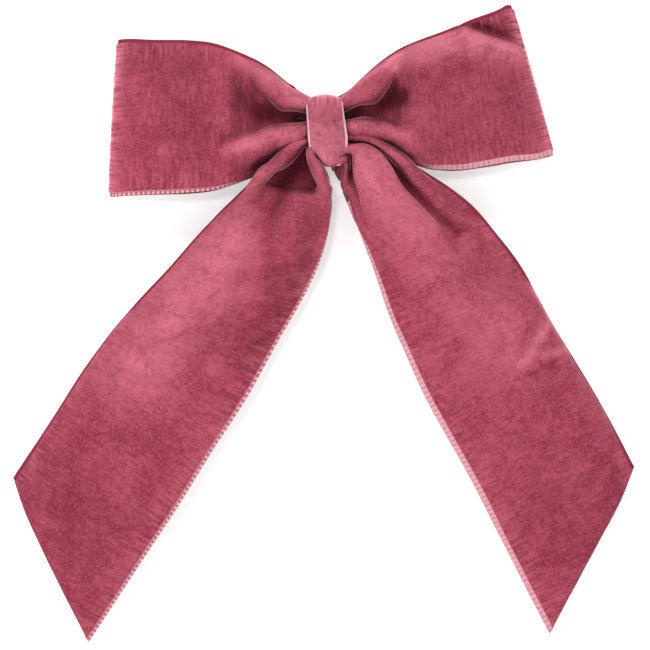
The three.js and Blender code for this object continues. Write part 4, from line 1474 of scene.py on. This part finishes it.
@dataclass
class TailRibbon:
    """One length of ribbon pleated through the knot, hanging as two tails with slanted ends."""

    left_slant: float = 32.4 * MM
    right_slant: float = 34.4 * MM
    rumple: Rumple = Rumple(height=0.3 * MM, along=34.0 * MM, across=20.0 * MM, seed=5)
    name: str = "tail_ribbon_velvet"

    def left(self) -> list[Station]:
        """Left tail, from the far end up to the knot."""
        none = Pleat(40.0, 2.0, 0.0, 0.0, 3.0)
        flat = (Pleat(16.0, 4.0, 0.0, 0.0, 5.0), none)
        open_edge = (Tuck(0.2, 5.0), Tuck(0.1, 9.0))
        return [
            facing_front((-119.3, -141.0), (-77.1, -166.5), -10.6, tucks=open_edge, pleats=flat),
            facing_front((-101.8, -112.9), (-59.6, -139.8), -10.9, tucks=open_edge, pleats=flat),
            facing_front((-89.4, -93.9), (-47.5, -121.4), -11.4, pleats=flat),
            facing_front((-79.0, -77.7), (-37.2, -104.8), -11.9, pleats=flat),
            facing_front((-68.0, -62.9), (-25.3, -86.2), -12.5,
                         pleats=(Pleat(16.0, 4.0, 0.1, 0.1, 5.0), none)),
            facing_front((-60.0, -54.2), (-16.0, -69.4), -12.9, tucks=(Tuck(0.9, 7.0), Tuck(0.6, 12.0)),
                         pleats=(Pleat(36.0, 5.0, 0.12, 0.12, 5.0), none)),
            facing_front((-51.0, -44.6), (-7.5, -54.2), -13.3, tucks=(Tuck(0.9, 8.0), Tuck(0.9, 11.0)),
                         pleats=(Pleat(31.0, 4.6, 0.36, 0.36, 4.4), none)),
            facing_front((-38.6, -31.0), (-0.8, -38.6), -14.2, tucks=(Tuck(0.9, 8.0), Tuck(0.95, 10.0)),
                         pleats=(Pleat(22.4, 3.9, 0.6, 0.5, 3.6), none)),
            facing_front((-31.6, -24.0), (1.0, -31.0), -15.0, tucks=(Tuck(0.95, 6.6), Tuck(1.0, 8.4)),
                         pleats=(Pleat(18.8, 3.8, 0.85, 0.62, 3.0), Pleat(38.0, 3.0, 0.0, 0.12, 3.0))),
            facing_front((-25.4, -17.8), (1.5, -23.8), -15.8, tucks=(Tuck(1.0, 5.6), Tuck(1.0, 6.6)),
                         pleats=(Pleat(21.0, 5.4, 1.0, 0.5, 2.6), Pleat(33.0, 3.6, 0.0, 0.7, 2.4))),
            facing_front((-22.0, -14.0), (1.4, -20.4), -16.3, tucks=(Tuck(1.0, 4.6), Tuck(1.0, 5.0)),
                         pleats=(Pleat(25.0, 8.4, 1.0, 0.1, 3.3), Pleat(33.0, 3.0, 0.0, 1.0, 3.2))),
            facing_front((-18.4, -10.2), (0.9, -17.0), -16.6, tucks=(Tuck(1.0, 4.4), Tuck(1.0, 4.6)),
                         pleats=(Pleat(24.0, 6.4, 1.0, 0.3, 3.9), Pleat(30.6, 2.4, 0.0, 0.9, 3.6))),
            facing_front((-13.9, -5.9), (-1.0, -12.4), -17.2, tucks=(Tuck(1.0, 4.6), Tuck(1.0, 4.6)),
                         pleats=(Pleat(23.2, 5.0, 1.0, 0.5, 4.2), Pleat(28.5, 2.0, 0.0, 0.7, 4.0))),
            facing_front((-9.0, -3.3), (-3.9, -9.6), -17.0, tucks=(Tuck(1.0, 4.4), Tuck(1.0, 4.6)),
                         pleats=(Pleat(23.2, 5.0, 1.0, 0.6, 4.2), Pleat(28.5, 2.0, 0.0, 0.6, 4.0))),
        ]

    def right(self) -> list[Station]:
        """Right tail, from the knot down to the far end."""
        none = Pleat(36.0, 3.0, 0.0, 0.0, 3.0)
        flat = (Pleat(17.0, 1.6, 0.0, 0.0, 3.4), none)
        open_edge = (Tuck(0.2, 5.0), Tuck(0.1, 9.0))
        return [
            facing_front((9.4, -3.0), (6.0, -9.9), -16.4, tucks=(Tuck(1.0, 4.4), Tuck(1.0, 4.6)),
                         pleats=(Pleat(16.0, 3.3, 1.0, 1.0, 3.3), Pleat(34.0, 3.3, 1.0, 1.0, 3.3))),
            facing_front((15.6, -4.8), (5.6, -13.8), -16.9, tucks=(Tuck(1.0, 3.8), Tuck(1.0, 4.4)),
                         pleats=(Pleat(15.0, 1.9, 1.0, 1.1, 2.5), Pleat(36.6, 2.2, 1.0, 1.0, 2.6))),
            facing_front((23.8, -8.9), (4.9, -18.6), -16.6, tucks=(Tuck(1.0, 3.8), Tuck(1.0, 4.8)),
                         pleats=(Pleat(16.2, 1.6, 0.9, 1.1, 2.3), Pleat(38.6, 1.2, 0.9, 0.9, 2.0))),
            facing_front((32.0, -14.3), (6.9, -25.2), -15.9, tucks=(Tuck(1.0, 4.2), Tuck(1.0, 6.2)),
                         pleats=(Pleat(17.4, 1.4, 0.75, 1.15, 2.1), Pleat(40.6, 1.1, 0.4, 0.4, 2.0))),
            facing_front((40.3, -19.5), (9.8, -32.3), -14.8, tucks=(Tuck(0.9, 4.8), Tuck(1.0, 8.0)),
                         pleats=(Pleat(17.6, 1.2, 0.7, 1.15, 1.9), Pleat(42.0, 1.2, 0.0, 0.0, 2.0))),
            facing_front((47.1, -24.9), (12.9, -40.0), -14.3, tucks=(Tuck(0.85, 6.0), Tuck(0.9, 9.0)),
                         pleats=(Pleat(17.2, 1.4, 0.6, 1.05, 1.8), none)),
            facing_front((54.6, -33.6), (16.3, -49.0), -13.8, tucks=(Tuck(0.8, 8.0), Tuck(0.8, 10.0)),
                         pleats=(Pleat(16.6, 1.6, 0.3, 0.42, 2.4), none)),
            facing_front((61.2, -41.9), (20.0, -60.2), -13.3, tucks=(Tuck(0.7, 10.0), Tuck(0.7, 11.0)),
                         pleats=flat),
            facing_front((68.1, -53.2), (25.5, -73.8), -12.8, pleats=flat),
            facing_front((74.2, -64.3), (31.4, -86.6), -12.3, pleats=flat),
            facing_front((80.5, -74.6), (37.3, -97.4), -11.9, pleats=flat),
            facing_front((91.9, -93.9), (48.2, -117.0), -11.3, pleats=flat),
            facing_front((99.6, -109.1), (55.6, -131.8), -10.9, tucks=open_edge, pleats=flat),
            facing_front((116.0, -138.9), (71.9, -163.6), -10.6, tucks=open_edge, pleats=flat),
        ]

    @staticmethod
    def creases() -> tuple[Dent, ...]:
        """The short creases on the right tail."""
        return (
            Dent((59.0, -71.0), (72.0, -68.0), 0.9, 1.6), Dent((66.0, -80.0), (76.0, -73.0), 0.8, 1.5),
            Dent((50.0, -62.0), (56.0, -72.0), 0.5, 2.4),
        )

    @staticmethod
    def light_and_shade_strokes() -> tuple[LightShadeStroke, ...]:
        """Painted highlights and painted shade on the tails' pile: lit sides, dark valleys and creases, and
        darker lower ends.
        """
        return (
            LightShadeStroke((-16.0, -24.0), (-19.0, -50.0), 3.6, -0.42),
            LightShadeStroke((-8.9, -12.5), (-14.0, -18.2), 3.4, -1.1),
            LightShadeStroke((24.2, -17.0), (42.3, -33.6), 1.7, -0.85),
            LightShadeStroke((-8.2, -2.4), (-17.0, -8.0), 1.6, 0.5),
            LightShadeStroke((-31.0, -36.0), (-60.0, -76.0), 13.0, 0.62),
            LightShadeStroke((-6.0, -44.0), (-24.0, -72.0), 5.5, -0.42),
            LightShadeStroke((22.0, -22.0), (62.0, -74.0), 11.0, 0.36),
            LightShadeStroke((9.0, -12.0), (15.0, -20.0), 3.0, 0.25), LightShadeStroke((16.0, -6.0), (30.0, -22.0), 2.0, 0.3),
            LightShadeStroke((62.3, -76.5), (71.0, -64.0), 1.7, 0.7),
            LightShadeStroke((70.0, -73.6), (77.5, -71.2), 1.1, 0.7),
            LightShadeStroke((64.5, -79.5), (72.0, -76.0), 2.3, -0.35),
            LightShadeStroke((-100.0, -112.0), (-62.0, -130.0), 9.0, -0.16),
            LightShadeStroke((70.0, -120.0), (88.0, -124.0), 12.0, -0.16),
        )

    def build(self, maker: RibbonMaker) -> None:
        """Builds both tails as one sheet, with the maker of the wide ribbon."""
        tucks = (Tuck(1.0, 4.4), Tuck(1.0, 4.6))
        left_folds = (Pleat(23.2, 5.0, 1.0, 0.6, 4.2), Pleat(28.5, 2.0, 0.0, 0.6, 4.0))
        right_folds = (Pleat(16.0, 3.3, 1.0, 1.0, 3.3), Pleat(34.0, 3.3, 1.0, 1.0, 3.3))
        middle = [facing_front((-5.4, -3.0), (-4.0, -9.6), -16.5, tucks=tucks, pleats=left_folds),
                  facing_front((0.0, -2.8), (0.0, -9.8), -15.2, tucks=tucks, pleats=left_folds),
                  facing_front((5.4, -2.8), (5.0, -9.6), -16.3, tucks=tucks, pleats=right_folds)]
        ribbon = FoldedRibbon([*self.left(), *middle, *self.right()])
        inward = 1 - maker.weave.columns(ribbon.width) / ribbon.width
        piece = maker.sheet(self.name, ribbon, self.rumple, self.left_slant * inward,
                            self.right_slant * inward, self.creases(), self.light_and_shade_strokes())
        mount(piece, Body.BOW, Slot.VELVET, "tail_ribbon")


@dataclass
class KnotWrap:
    """Narrow velvet ribbon round the bow's middle and the clip plate, with its loose end below."""

    width: float = 13.1 * MM
    weave: Weave = Weave(pile=0.3 * MM, ground=0.25 * MM, selvedge=0.65 * MM, row_gap=0.32 * MM,
                         column_gap=0.32 * MM)
    rumple: Rumple = Rumple(height=0.1 * MM, along=12.0 * MM, across=9.0 * MM, seed=8)
    name: str = "knot_wrap_velvet"

    def velvet(self) -> VelvetFinish:
        """Its own velvet: paler, with short pile and picot loops on both edges."""
        return VelvetFinish(width=self.width, name="narrow_velvet", picot_gap=0.55 * MM, both_looped=True,
                            body=rgb(0.27, 0.048, 0.080), brushed=rgb(0.47, 0.130, 0.175), edge_hair=0.10,
                            rows=0.12, selvedge=rgb(0.88, 0.50, 0.57), picot=rgb(0.95, 0.68, 0.74))

    @staticmethod
    def ring() -> list[Station]:
        """Stations once round the middle, from behind the plate over the top and back."""
        wide = (Tuck(0.5, 16.0), Tuck(0.5, 16.0))
        drawn = (Tuck(0.8, 12.0), Tuck(0.8, 12.0))

        def at(y: float, z: float, left: float, right: float, turn: float,
               tucks: tuple[Tuck, Tuck] = wide) -> Station:
            """One station, square to the ring."""
            angle = math.radians(turn)
            out = (0.0, math.cos(angle), math.sin(angle))
            return Station((left, y, z), (right, y, z), out, tucks=tucks)

        return [
            at(-2.35, -1.5, -6.5, 6.5, 0.0), at(-2.35, 3.4, -6.5, 6.5, 8.0), at(-3.9, 5.3, -6.5, 6.5, 60.0),
            at(-5.6, 6.6, -6.5, 6.5, 70.0), at(-7.4, 9.2, -6.5, 6.4, 60.0),
            at(-10.3, 10.5, -6.6, 6.1, 92.0), at(-14.4, 10.4, -6.9, 5.6, 104.0),
            at(-17.0, 8.4, -6.9, 5.3, 142.0), at(-17.8, 4.4, -6.7, 5.6, 172.0),
            at(-17.9, 0.0, -6.4, 6.2, 180.0), at(-17.9, -4.2, -6.1, 6.7, 181.0),
            at(-17.7, -8.2, -5.6, 6.6, 188.0), at(-16.6, -11.4, -4.6, 5.6, 220.0, drawn),
            at(-13.4, -12.9, -4.4, 5.2, 258.0, drawn), at(-8.9, -11.6, -5.2, 5.6, 290.0),
            at(-6.2, -8.6, -6.3, 6.3, 300.0), at(-5.0, -5.8, -6.5, 6.5, 300.0),
            at(-3.6, -5.0, -6.5, 6.5, 310.0), at(-2.95, -3.0, -6.5, 6.5, 352.0),
            at(-2.95, 1.6, -6.5, 6.5, 360.0),
        ]

    def build(self, maker: RibbonMaker, end_finish: bpy.types.Material) -> None:
        """Builds the wrap and its loose end.

        Args:
            maker: makes the sheets in the wrap's own weave.
            end_finish: the reverse as it looks on the loose end.
        """
        ribbon = FoldedRibbon(self.ring(), width=self.width, fine=0.2 * MM, softness=3.0)
        wrap = maker.sheet(self.name, ribbon, self.rumple)
        end = self._loose_end(replace(maker, velvet=maker.reverse, reverse=end_finish))
        mount(wrap, Body.BOW, Slot.VELVET, "knot_wrap")
        mount(end, Body.BOW, Slot.BACK, "knot_wrap_end")
        log.info("knot wrap: flat length %.1f mm", ribbon.length / MM)

    def _loose_end(self, maker: RibbonMaker) -> bpy.types.Object:
        """The ribbon's cut end, reverse side out, leaving the knot downwards and drawn in as it goes."""
        low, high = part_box("knot_wrap_end")
        level = (Tuck(0.0, 4.0), Tuck(0.0, 4.0))
        y, left, right = low.y / MM, low.x / MM, high.x / MM
        top, bottom = high.z / MM, low.z / MM
        half_way = (top + bottom) / 2
        rows = [
            Station((left + 0.4, y + 0.3, top), (right - 0.3, y + 0.3, top), REAR, level),
            Station((left + 1.3, y + 0.05, half_way), (right - 0.2, y + 0.2, half_way), REAR, level),
            Station((left + 2.6, y + 0.2, bottom + 0.5), (right - 0.1, y + 0.5, bottom), REAR, level),
        ]
        strip = FoldedRibbon(rows, width=(right - left) * MM * 0.98, fine=0.1 * MM, softness=2.0)
        return maker.sheet("knot_wrap_end_ribbon", strip, Rumple(height=0.03 * MM, seed=2))


@dataclass
class StitchedCores:
    """Thread wound round the pinched middles of the loops and the tails."""

    thickness: float = 0.32 * MM
    turns: int = 8
    steps: int = 44
    squareness: float = 0.45
    sway: float = 0.35 * MM
    sway_rate: float = 0.37

    def build(self, finish: bpy.types.Material) -> None:
        """Builds both windings."""
        for node in ("loop_thread", "tail_thread"):
            self._winding(node, finish)

    def _winding(self, node: str, finish: bpy.types.Material) -> None:
        """Winds thread over the place of one plain solid.

        Args:
            node: the solid that it stands for.
            finish: the thread's material.
        """
        curve = bpy.data.curves.new(node + "_winding", "CURVE")
        curve.dimensions = "3D"
        curve.bevel_depth = self.thickness / 2
        curve.bevel_resolution = 1
        spline = curve.splines.new("POLY")
        spline.points.add(self.turns * self.steps)
        self._lay(spline, *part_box(node))
        shape = bpy.data.objects.new("winding_path", curve)
        bpy.context.scene.collection.objects.link(shape)
        graph = bpy.context.evaluated_depsgraph_get()
        mesh = bpy.data.meshes.new_from_object(shape.evaluated_get(graph))
        bpy.data.objects.remove(shape)
        mesh.materials.clear()
        mesh.materials.append(finish)
        mount(shade(add_object(node + "_winding", mesh), True), Body.BOW, Slot.THREAD, node)

    def _lay(self, spline: bpy.types.Spline, low: Vector, high: Vector) -> None:
        """Lays the thread round a box, turn by turn from one side to the other.

        Args:
            spline: the thread's path.
            low: the box's lowest corner.
            high: its highest corner.
        """
        middle, half = (low + high) / 2, (high - low) / 2
        reach_x = half.x - self.thickness - self.sway
        reach_y, reach_z = half.y - self.thickness / 2, half.z - self.thickness / 2
        count = self.turns * self.steps
        for k in range(count + 1):
            angle = 2 * math.pi * k / self.steps
            c, s = math.cos(angle), math.sin(angle)
            x = middle.x + reach_x * (2 * k / count - 1) + self.sway * math.sin(angle * self.sway_rate)
            y = middle.y + reach_y * math.copysign(abs(c) ** self.squareness, c)
            z = middle.z + reach_z * math.copysign(abs(s) ** self.squareness, s)
            spline.points[k].co = (x, y, z, 1.0)


@dataclass
class Padding:
    """The felt pad behind the knot, and the glue that holds the loops on the plate.

    Attributes:
        rounding: radius of the pad's edges.
        uneven: how far the pad's faces wander.
        ripple: how closely they wander, in radians a metre.
        waist: share of the plain solid's height that a bead of glue keeps.
    """

    rounding: float = 0.3 * MM
    uneven: float = 0.06 * MM
    ripple: float = 900.0
    ripples: int = 6
    waist: float = 0.72
    bead_cuts: tuple[int, int] = (26, 8)

    def build(self, felt: bpy.types.Material, glue: bpy.types.Material) -> None:
        """Builds the pad and both glue beads."""
        pad = self._pad(felt, 3)
        mount(pad, Body.BOW, Slot.FELT, "felt_pad")
        for seed, side in ((5, "left"), (9, "right")):
            node = f"glue_strip_{side}"
            mount(self._bead(node, glue, seed), Body.BOW, Slot.GLUE, node)

    def _pad(self, finish: bpy.types.Material, seed: int) -> bpy.types.Object:
        """A soft-edged slab of felt in the place of the plain one.

        Args:
            finish: its material.
            seed: makes its unevenness its own.

        Returns:
            The piece.
        """
        low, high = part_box("felt_pad")
        middle = (low + high) / 2
        bm = bmesh.new()
        bmesh.ops.create_cube(bm, size=1.0)
        bmesh.ops.scale(bm, vec=high - low, verts=bm.verts)
        bmesh.ops.translate(bm, vec=middle, verts=bm.verts)
        bmesh.ops.bevel(bm, geom=bm.edges[:], offset=self.rounding, segments=3, profile=0.5,
                        affect="EDGES", material=-1)
        bmesh.ops.subdivide_edges(bm, edges=bm.edges[:], cuts=3, use_grid_fill=True)
        rng = np.random.default_rng(seed)
        waves = rng.normal(size=(self.ripples, 3)) * self.ripple
        for vert in bm.verts:
            shift = sum(math.sin(float(w @ np.array(vert.co))) for w in waves) / self.ripples
            shrink = self.uneven / (high - low).length * (2 + shift) * 4
            vert.co = middle + (vert.co - middle) * (1 - shrink)
        return shade(mesh_object("felt_pad_soft", bm, finish), True)

    def _bead(self, node: str, finish: bpy.types.Material, seed: int) -> bpy.types.Object:
        """A strip of glue: the plain solid's own shape, with a wandering, rounded outline.

        Args:
            node: the solid that it stands for.
            finish: its material.
            seed: makes its outline its own.

        Returns:
            The piece.
        """
        low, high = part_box(node)
        bm = bmesh.new()
        bm.from_mesh(bpy.data.objects[node].data)
        bmesh.ops.remove_doubles(bm, verts=bm.verts, dist=1e-6)
        bmesh.ops.recalc_face_normals(bm, faces=bm.faces)
        for axis, cuts in zip((0, 2), self.bead_cuts):
            square = Vector((0, 0, 0))
            square[axis] = 1
            for place in np.linspace(low[axis], high[axis], cuts)[1:-1]:
                bmesh.ops.bisect_plane(bm, geom=bm.verts[:] + bm.edges[:] + bm.faces[:],
                                       plane_co=square * float(place), plane_no=square)
        rng = np.random.default_rng(seed)
        phases = rng.uniform(0, 6.28, 3)
        for vert in bm.verts:
            along = (vert.co.x - low.x) / (high.x - low.x)
            waist = self.waist + 0.1 * math.sin(9 * along + phases[0])
            waist += 0.06 * math.sin(23 * along + phases[1])
            taper = math.sqrt(max(0.0, 1 - (2 * along - 1) ** 8))
            vert.co.z *= waist * (0.35 + 0.65 * taper)
        return shade(mesh_object(node + "_bead", bm, finish), False)


@dataclass
class HairClip:
    """The stamped clip, whose solids keep their own shape and get their metal finishes here."""

    plated: tuple[str, ...] = ("clip_plate", "hinge_pin", "clip_arm", "spring_rivet", "latch_saddle",
                               "latch_prong_upper", "latch_prong_lower", "latch_rivet_inner",
                               "latch_rivet_outer")
    sprung: tuple[str, ...] = ("tension_spring",)

    def dress(self, nodes: dict[str, bpy.types.Object], plating: bpy.types.Material,
              spring: bpy.types.Material) -> None:
        """Puts the finishes on the clip.

        Args:
            nodes: the clip's solids by name.
            plating: finish of the stamped parts.
            spring: finish of the spring strip.
        """
        for names, finish in ((self.plated, plating), (self.sprung, spring)):
            for name in names:
                for place in nodes[name].material_slots:
                    place.material = finish
                log.info("%s: dressed in %s", name, finish.name)


# --------------------------------------------------------------------- studio


@dataclass
class Studio:
    """Pale surface, soft lights and the camera."""

    lens: float = 135.0
    sensor: float = 36.0
    view_width: float = 209.7 * MM
    centre_x: float = -0.65 * MM
    centre_z: float = -63.55 * MM
    sheet_depth: float = 11.0 * MM
    reference_depth: float = -9.0 * MM
    floor_height: float = -185.0 * MM
    surroundings: ClassVar[float] = 0.13
    surroundings_seen: ClassVar[float] = 0.72

    def build(self) -> None:
        """Builds the studio."""
        self._camera()
        self._surface()
        self._world()
        self._area("key_light", (-0.30, -0.70, 0.72), 0.30, 6.3)
        self._area("fill_light", (0.60, -0.75, 0.25), 0.6, 0.6)
        self._area("front_light", (-0.10, -1.15, 0.10), 0.09, 3.0)
        self._area("rear_light", (0.35, 0.85, 0.45), 0.5, 4.0)

    def _camera(self) -> None:
        """Camera square to the bow's front."""
        data = bpy.data.cameras.new("camera")
        data.lens = self.lens
        data.sensor_width = self.sensor
        data.clip_start = 0.05
        data.clip_end = 20.0
        camera = bpy.data.objects.new("camera", data)
        bpy.context.scene.collection.objects.link(camera)
        distance = self.view_width * self.lens / self.sensor
        camera.location = (self.centre_x, self.reference_depth - distance, self.centre_z)
        camera.rotation_euler = (math.pi / 2, 0, 0)
        bpy.context.scene.camera = camera

    def _surface(self) -> None:
        """The pale surface just behind the clip, seen only from the front, and the floor below."""
        material, g, shader = new_material("pale_surface")
        pale = g.mix(g.noise(g.place(), 40.0, detail=3.0), rgb(0.93, 0.93, 0.93), rgb(0.95, 0.95, 0.95))
        g.join(pale, shader.inputs["Base Color"])
        settle(shader, {"Roughness": 0.9, "Emission Color": rgb(1.0, 1.0, 1.0), "Emission Strength": 0.36})
        both = g.add("MixShader")
        output = next(n for n in g.tree.nodes if n.type == "OUTPUT_MATERIAL")
        g.join(g.add("NewGeometry").outputs["Backfacing"], both.inputs[0])
        g.join(shader.outputs[0], both.inputs[1])
        g.join(g.add("BsdfTransparent").outputs[0], both.inputs[2])
        g.join(both.outputs[0], output.inputs["Surface"])
        upright = Vector((0, 0, 1)).rotation_difference(Vector(FRONT)).to_matrix()
        for name, size, turn, place in (
                ("pale_backdrop", 4.0, upright, (0.0, self.sheet_depth, 0.0)),
                ("pale_floor", 6.0, None, (0.0, 0.0, self.floor_height))):
            bm = bmesh.new()
            bmesh.ops.create_grid(bm, x_segments=4, y_segments=4, size=size / 2)
            if turn:
                bmesh.ops.rotate(bm, cent=(0, 0, 0), verts=bm.verts, matrix=turn)
            bmesh.ops.translate(bm, vec=place, verts=bm.verts)
            mesh_object(name, bm, material)

    def _world(self) -> None:
        """Even white surroundings: dim as a light, pale to look at."""
        world = bpy.data.worlds.new("studio")
        world.use_nodes = True
        world.node_tree.nodes.clear()
        g = Graph(world.node_tree)
        seen = g.times(g.add("LightPath").outputs["Is Camera Ray"], self.surroundings_seen)
        around = g.add("Background")
        settle(around, {"Color": rgb(1.0, 1.0, 1.0)})
        g.join(g.plus(seen, self.surroundings), around.inputs["Strength"])
        g.join(around.outputs[0], g.add("OutputWorld").inputs["Surface"])
        bpy.context.scene.world = world
        bpy.context.scene.view_settings.view_transform = "Standard"

    @staticmethod
    def _area(name: str, place: Point, size: float, power: float) -> None:
        """A soft square light aimed at the bow.

        Args:
            name: the light's name.
            place: where it hangs.
            size: its side.
            power: its power in watts.
        """
        data = bpy.data.lights.new(name, "AREA")
        data.shape = "SQUARE"
        data.size = size
        data.energy = power
        lamp = bpy.data.objects.new(name, data)
        bpy.context.scene.collection.objects.link(lamp)
        lamp.location = place
        target = Vector((0.0, 0.0, -0.05))
        lamp.rotation_euler = (target - Vector(place)).to_track_quat("-Z", "Y").to_euler()


def build_bow(effects: Effects) -> None:
    """Builds the ribbons, thread, felt and glue."""
    weave, wrap = Weave(), KnotWrap()
    velvet = VelvetFinish().make(effects, weave)
    narrow = wrap.velvet().make(effects, wrap.weave)
    reverse = RibbonBackFinish().make(effects)
    loose = RibbonBackFinish("loose_end_reverse", rgb(0.24, 0.046, 0.050), rgb(0.40, 0.095, 0.100), 0.05)
    maker = RibbonMaker(weave, velvet, reverse)
    LoopRibbon().build(maker)
    TailRibbon().build(maker)
    wrap.build(RibbonMaker(wrap.weave, narrow, reverse), loose.make(effects))
    StitchedCores().build(ThreadFinish().make(effects))
    Padding().build(FeltFinish().make(effects), GlueFinish().make(effects))


def dress_clip(nodes: dict[str, bpy.types.Object], effects: Effects) -> None:
    """Puts the metal finishes on the clip."""
    plating = SteelFinish("bright_plating", rgb(0.66, 0.65, 0.63), rgb(0.80, 0.79, 0.77), 0.20, 0.7)
    spring = SteelFinish("spring_strip", rgb(0.47, 0.46, 0.46), rgb(0.68, 0.67, 0.66), 0.28, 0.5)
    HairClip().dress(nodes, plating.make(effects), spring.make(effects))


def main() -> None:
    """Builds the barrette, piece by piece."""
    logging.basicConfig(level=logging.INFO, format="%(message)s")
    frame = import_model()
    Studio().build()
    effects = Effects()
    build_bow(effects)
    dress_clip(frame["nodes"], effects)


if __name__ == "__main__":
    main()
